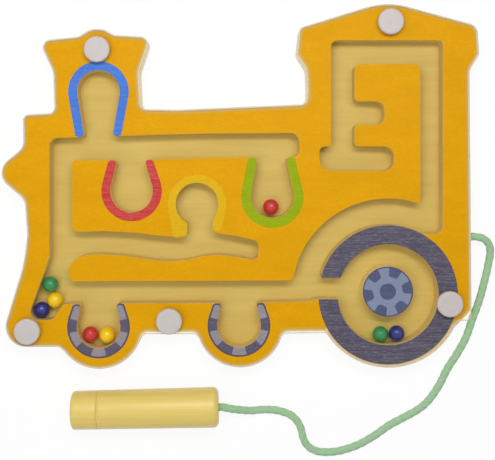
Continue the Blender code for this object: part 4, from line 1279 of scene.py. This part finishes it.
def make_board(finishes):
    """The back, the routed plate with its print, the hub and the clear cover."""
    board = engine_outline(REAR_CORNER_SHARES, 0.0)
    channels = channel_outline()
    cover = [point * COVER_SIZE_SHARE for point in engine_outline(COVER_REAR_CORNER_SHARES, COVER_LIP)]
    add_sheet("plywood_back", [board], sheet_profile(0.0, BACK_THICKNESS, WOOD_EDGE),
              [finishes["floor"], finishes["edge"]], "back_board")

    plate = sheet_mesh("routed_plate", [board, channels] + bores(),
                       sheet_profile(BACK_THICKNESS + SHEET_GAP, PLATE_TOP, WOOD_EDGE),
                       [finishes["rim"], finishes["edge"], finishes["wall"]])
    plate = drill_cord_hole(plate, finishes["edge"])
    add_piece("routed_plate", plate, stands_for=["maze_plate"])

    line = inwards(board)
    edge_line = moved_left(line, FILM_INSET)
    whole_line = moved_left(line, fade_inset)
    hole = moved_left(inwards(channels, hole=True), FILM_INSET)
    add_film("yellow_print", [whole_line, hole] + bores(BORE_MARGIN), FILM_HEIGHT, finishes["yellow"])
    fading = fading_mesh(edge_line, whole_line, finishes["fading_yellow"])
    add_piece("fading_print", fading)
    for name, (mouth, head, outer, legs, cuts) in HORSESHOES.items():
        shape = necked_bay if name == "pale_horseshoe" else bay
        lines = [shortened(line, cut) for line, cut in
                 zip(horseshoe(mouth, head, KEYHOLE_RADIUS, outer, legs, shape), cuts)]
        add_film(name, [strip_outline(*lines, SHOE_TIP_ROUND, SHOE_TIP_ROUND)], BAND_HEIGHT,
                 finishes[name.split("_")[0]])
    for name, (mouth, head) in WHEELS.items():
        add_piece(name + "_print", wheel_films(name, mouth, head, finishes))
    add_film("large_wheel_print", [ring_outline(), bores(BORE_MARGIN)[-1]], BAND_HEIGHT,
             finishes["ring"])
    make_hub(finishes)

    add_sheet("clear_sheet", [cover] + bores(),
              sheet_profile(COVER_BOTTOM, COVER_TOP, COVER_EDGE, steps=4),
              [finishes["acrylic"], finishes["acrylic_edge"]], "clear_cover")


def cap_tree(finish):
    """Sets a cap on each point it is given, each turned its own way."""
    tree, given = geometry_tree("snap_caps", [
        ("Cap", "NodeSocketObject", None), ("Size", "NodeSocketFloat", 1.0),
        ("Seed", "NodeSocketInt", 3)])
    points = add_node(tree, "GeometryNodeMeshToPoints", {"Mesh": given["Geometry"]})
    source = add_node(tree, "GeometryNodeObjectInfo", {"Object": given["Cap"]})
    turn = add_node(tree, "FunctionNodeRandomValue", {"Seed": given["Seed"]}, data_type="FLOAT")
    spin = add_node(tree, "ShaderNodeMath", {0: turn.outputs[1], 1: math.tau}, operation="MULTIPLY")
    heading = add_node(tree, "ShaderNodeCombineXYZ", {2: spin})
    set_out = add_node(tree, "GeometryNodeInstanceOnPoints", {
        "Points": points, "Instance": source.outputs["Geometry"], "Rotation": heading,
        "Scale": given["Size"]})
    dress_and_end(tree, set_out, finish)
    return tree, next(item.identifier for item in tree.interface.items_tree if item.name == "Cap")


def make_caps(finishes):
    """Hollow caps with a soft edge and the faint dimple that their moulding leaves in the middle."""
    outer, top = CAP_DIAMETER / 2, CAP_HEIGHT
    inner, inner_top = outer - CAP_WALL, CAP_HEIGHT - CAP_WALL
    profile = [(CAP_DIMPLE * share, top - depth) for share, depth in CAP_DIMPLE_ROWS]
    profile += rounded_edge(outer, top, CAP_EDGE, steps=7, upper=True)
    profile += [(outer, CAP_FOOT_HEIGHT), (outer - CAP_FOOT_CHAMFER, 0), (inner, 0), (inner, inner_top),
                (0, inner_top)]
    master = placed("cap_master", lathe_mesh("cap_master", profile, CAP_SIDES, finishes["cap"]))
    places = bpy.data.meshes.new("cap_places")
    places.from_pydata([(*at(place), COVER_TOP + LAYER_GAP) for place in SCREW_SHARES], [], [])
    holder = placed("cap_places", places)
    setting = holder.modifiers.new("snap_caps", "NODES")
    setting.node_group, socket = cap_tree(finishes["cap"])
    setting[socket] = master
    mesh = solid_from(holder)
    for piece in (holder, master):
        bpy.data.objects.remove(piece, do_unlink=True)
    mesh.name = "snap_caps"
    add_piece("snap_caps", mesh,
              stands_for=[f"screw_cap_{i}" for i in range(1, len(SCREW_SHARES) + 1)])


def make_balls(finishes):
    """Steel balls, whose dipped coat is a few hundredths of a millimetre uneven."""
    for name in sorted(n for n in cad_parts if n.startswith("ball_")):
        low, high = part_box(name)
        centre = (low + high) / 2
        shape = bmesh.new()
        bmesh.ops.create_icosphere(shape, subdivisions=5, radius=BALL_RADIUS - BALL_MARGIN)
        for vert in shape.verts:
            rise = noise.noise(vert.co * RIPPLES_PER_METRE + centre * RIPPLE_SHIFT)
            vert.co += vert.co.normalized() * (RIPPLE_HEIGHT * rise)
            vert.co += centre
        for face in shape.faces:
            face.smooth = True
        finish = name.split("_")[1] + "_ball"
        mesh = mesh_from(shape, name + "_enamel", [finishes[finish]])
        add_piece(name + "_enamel", mesh, body=name, stands_for=[name])


def wand_radius(z):
    return WAND_TIP_RADIUS + (WAND_REAR_RADIUS - WAND_TIP_RADIUS) * z / WAND_LENGTH


def grooved(start, end, rings):
    """The handle's side between two heights, from the top down, with shallow lathe rings in it."""
    points = []
    for z, depth in rings:
        points += [(wand_radius(z + LATHE_RING_HALF), z + LATHE_RING_HALF), (wand_radius(z) - depth, z),
                   (wand_radius(z - LATHE_RING_HALF), z - LATHE_RING_HALF)]
    return [(r, z) for r, z in points if start < z < end]


def make_wand(finishes):
    """The turned wand: an end cup over the magnet, and a handle with a spigot and the cord's bore."""
    tip, _, along = wand_frame()
    rise = math.asin((WAND_REAR_RADIUS - WAND_TIP_RADIUS) / WAND_LENGTH)
    heading = math.atan2(along.y, along.x)
    place = (Matrix.Translation((*tip, WAND_TIP_RADIUS)) @ Matrix.Rotation(heading, 4, "Z")
             @ Matrix.Rotation(math.radians(90) - rise, 4, "Y"))
    seam = WAND_TIP_LENGTH
    cup_end = seam - SEAM_LINE
    cavity = MAGNET_RADIUS + WAND_GAP
    spigot_end = WAND_TIP_WALL + WAND_GAP + MAGNET_THICKNESS + WAND_GAP
    cup = [(0, WAND_TIP_WALL), (cavity, WAND_TIP_WALL), (cavity, cup_end),
           (wand_radius(cup_end) - SEAM_CHAMFER, cup_end),
           (wand_radius(cup_end), cup_end - SEAM_CHAMFER)]
    cup += grooved(0, cup_end, TIP_LATHE_RINGS)
    cup += rounded_edge(wand_radius(0), 0.0, WAND_TIP_ROUND, steps=8, upper=False) + [(0, 0)]
    bore_end = WAND_LENGTH - CORD_BORE_DEPTH
    handle = [(0, bore_end), (CORD_HOLE_RADIUS, bore_end),
              (CORD_HOLE_RADIUS, WAND_LENGTH - CORD_HOLE_CHAMFER[1]),
              (CORD_HOLE_RADIUS + CORD_HOLE_CHAMFER[0], WAND_LENGTH)]
    handle += rounded_edge(wand_radius(WAND_LENGTH), WAND_LENGTH, WAND_REAR_ROUND, steps=12, upper=True)
    handle += grooved(seam, WAND_LENGTH, HANDLE_LATHE_RINGS)
    handle += [(wand_radius(seam), seam + SEAM_CHAMFER), (wand_radius(seam) - SEAM_CHAMFER, seam),
               (MAGNET_RADIUS, seam), (MAGNET_RADIUS, spigot_end), (0, spigot_end)]
    for name, profile, node in (("turned_tip", cup, "wand_tip"),
                                ("turned_handle", handle, "wand_handle")):
        mesh = lathe_mesh(name, profile, WAND_SIDES, finishes["beech"])
        mesh.transform(place)
        add_piece(name, mesh, body="wand", stands_for=[node])


def make_finishes():
    yellow = {"ink": "#e5a503", "worn": "#ecb00e", "pores": 0.35, "fibres": 0.15, "tone": 0.045}
    made = {
        "floor": sanded_plywood("channel_floor_plywood", "#dac16f", "#d0b564"),
        "rim": sanded_plywood("bare_rim_plywood", "#efdcb2", "#e4cb9a"),
        # The outer sides and the channel walls are one plywood: the sides' paler cream is painted
        # light, the walls' darker yellow painted shade.
        "edge": plywood_edge("plywood_side_with_painted_light", "#fbf0d6", "#f0dcb4"),
        "wall": plywood_edge("plywood_wall_with_painted_shade", "#e6cd88", "#d6b86e"),
        "hub_wall": plywood_edge("pale_plywood_wall", "#fbe7a8", "#f1d990"),
        "yellow": printed_wood("yellow_ink_on_plywood", **yellow),
        "fading_yellow": thinning_ink("thinning_yellow_ink_on_plywood", **yellow),
        "acrylic": cast_acrylic("cast_acrylic_sheet"),
        # The acrylic edge's warm cream is painted light, the wood's colour seen through the clear edge.
        "acrylic_edge": sawn_acrylic("sawn_acrylic_edge", "#f0e8d6", "#e4dac4"),
        "cap": moulded_plastic("moulded_polypropylene", "#cdc6c3", "#c7bfbc"),
        "beech": varnished_beech("varnished_beech", "#e5ca66", "#dec25f", "#cfae59"),
        "cord": spun_yarn("twisted_cotton_yarn", "#aad8a6", "#8dbd8c", "#bbd8b3", "#adc4a7"),
        "zinc": plated_steel("zinc_plated_steel", "#c9cacc", 0.34),
        "nickel": plated_steel("nickel_plated_magnet", "#cfcac2", 0.25),
    }
    for key, (colour, ink, worn, pores, fibres) in INKS.items():
        made[key] = printed_wood(colour + "_ink_on_plywood", ink, worn, pores, fibres)
    for colour, (coat, thin) in ENAMELS.items():
        made[colour + "_ball"] = enamelled_steel(colour + "_enamel_on_steel", coat, thin)
    return made


def dress_hidden_parts(finishes):
    """Gives the CAD parts that stay inside the toy their finishes."""
    for name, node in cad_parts.items():
        if name.startswith("cover_screw"):
            finish = finishes["zinc"]
        elif name.startswith("cap_washer"):
            finish = finishes["cap"]
        elif name == "wand_magnet":
            finish = finishes["nickel"]
        else:
            continue
        node.data.materials.clear()
        node.data.materials.append(finish)


make_camera()
finishes = make_finishes()
make_cord(finishes)
make_stage()
make_board(finishes)
make_caps(finishes)
make_balls(finishes)
make_wand(finishes)
dress_hidden_parts(finishes)
bpy.context.scene.view_settings.view_transform = "Standard"
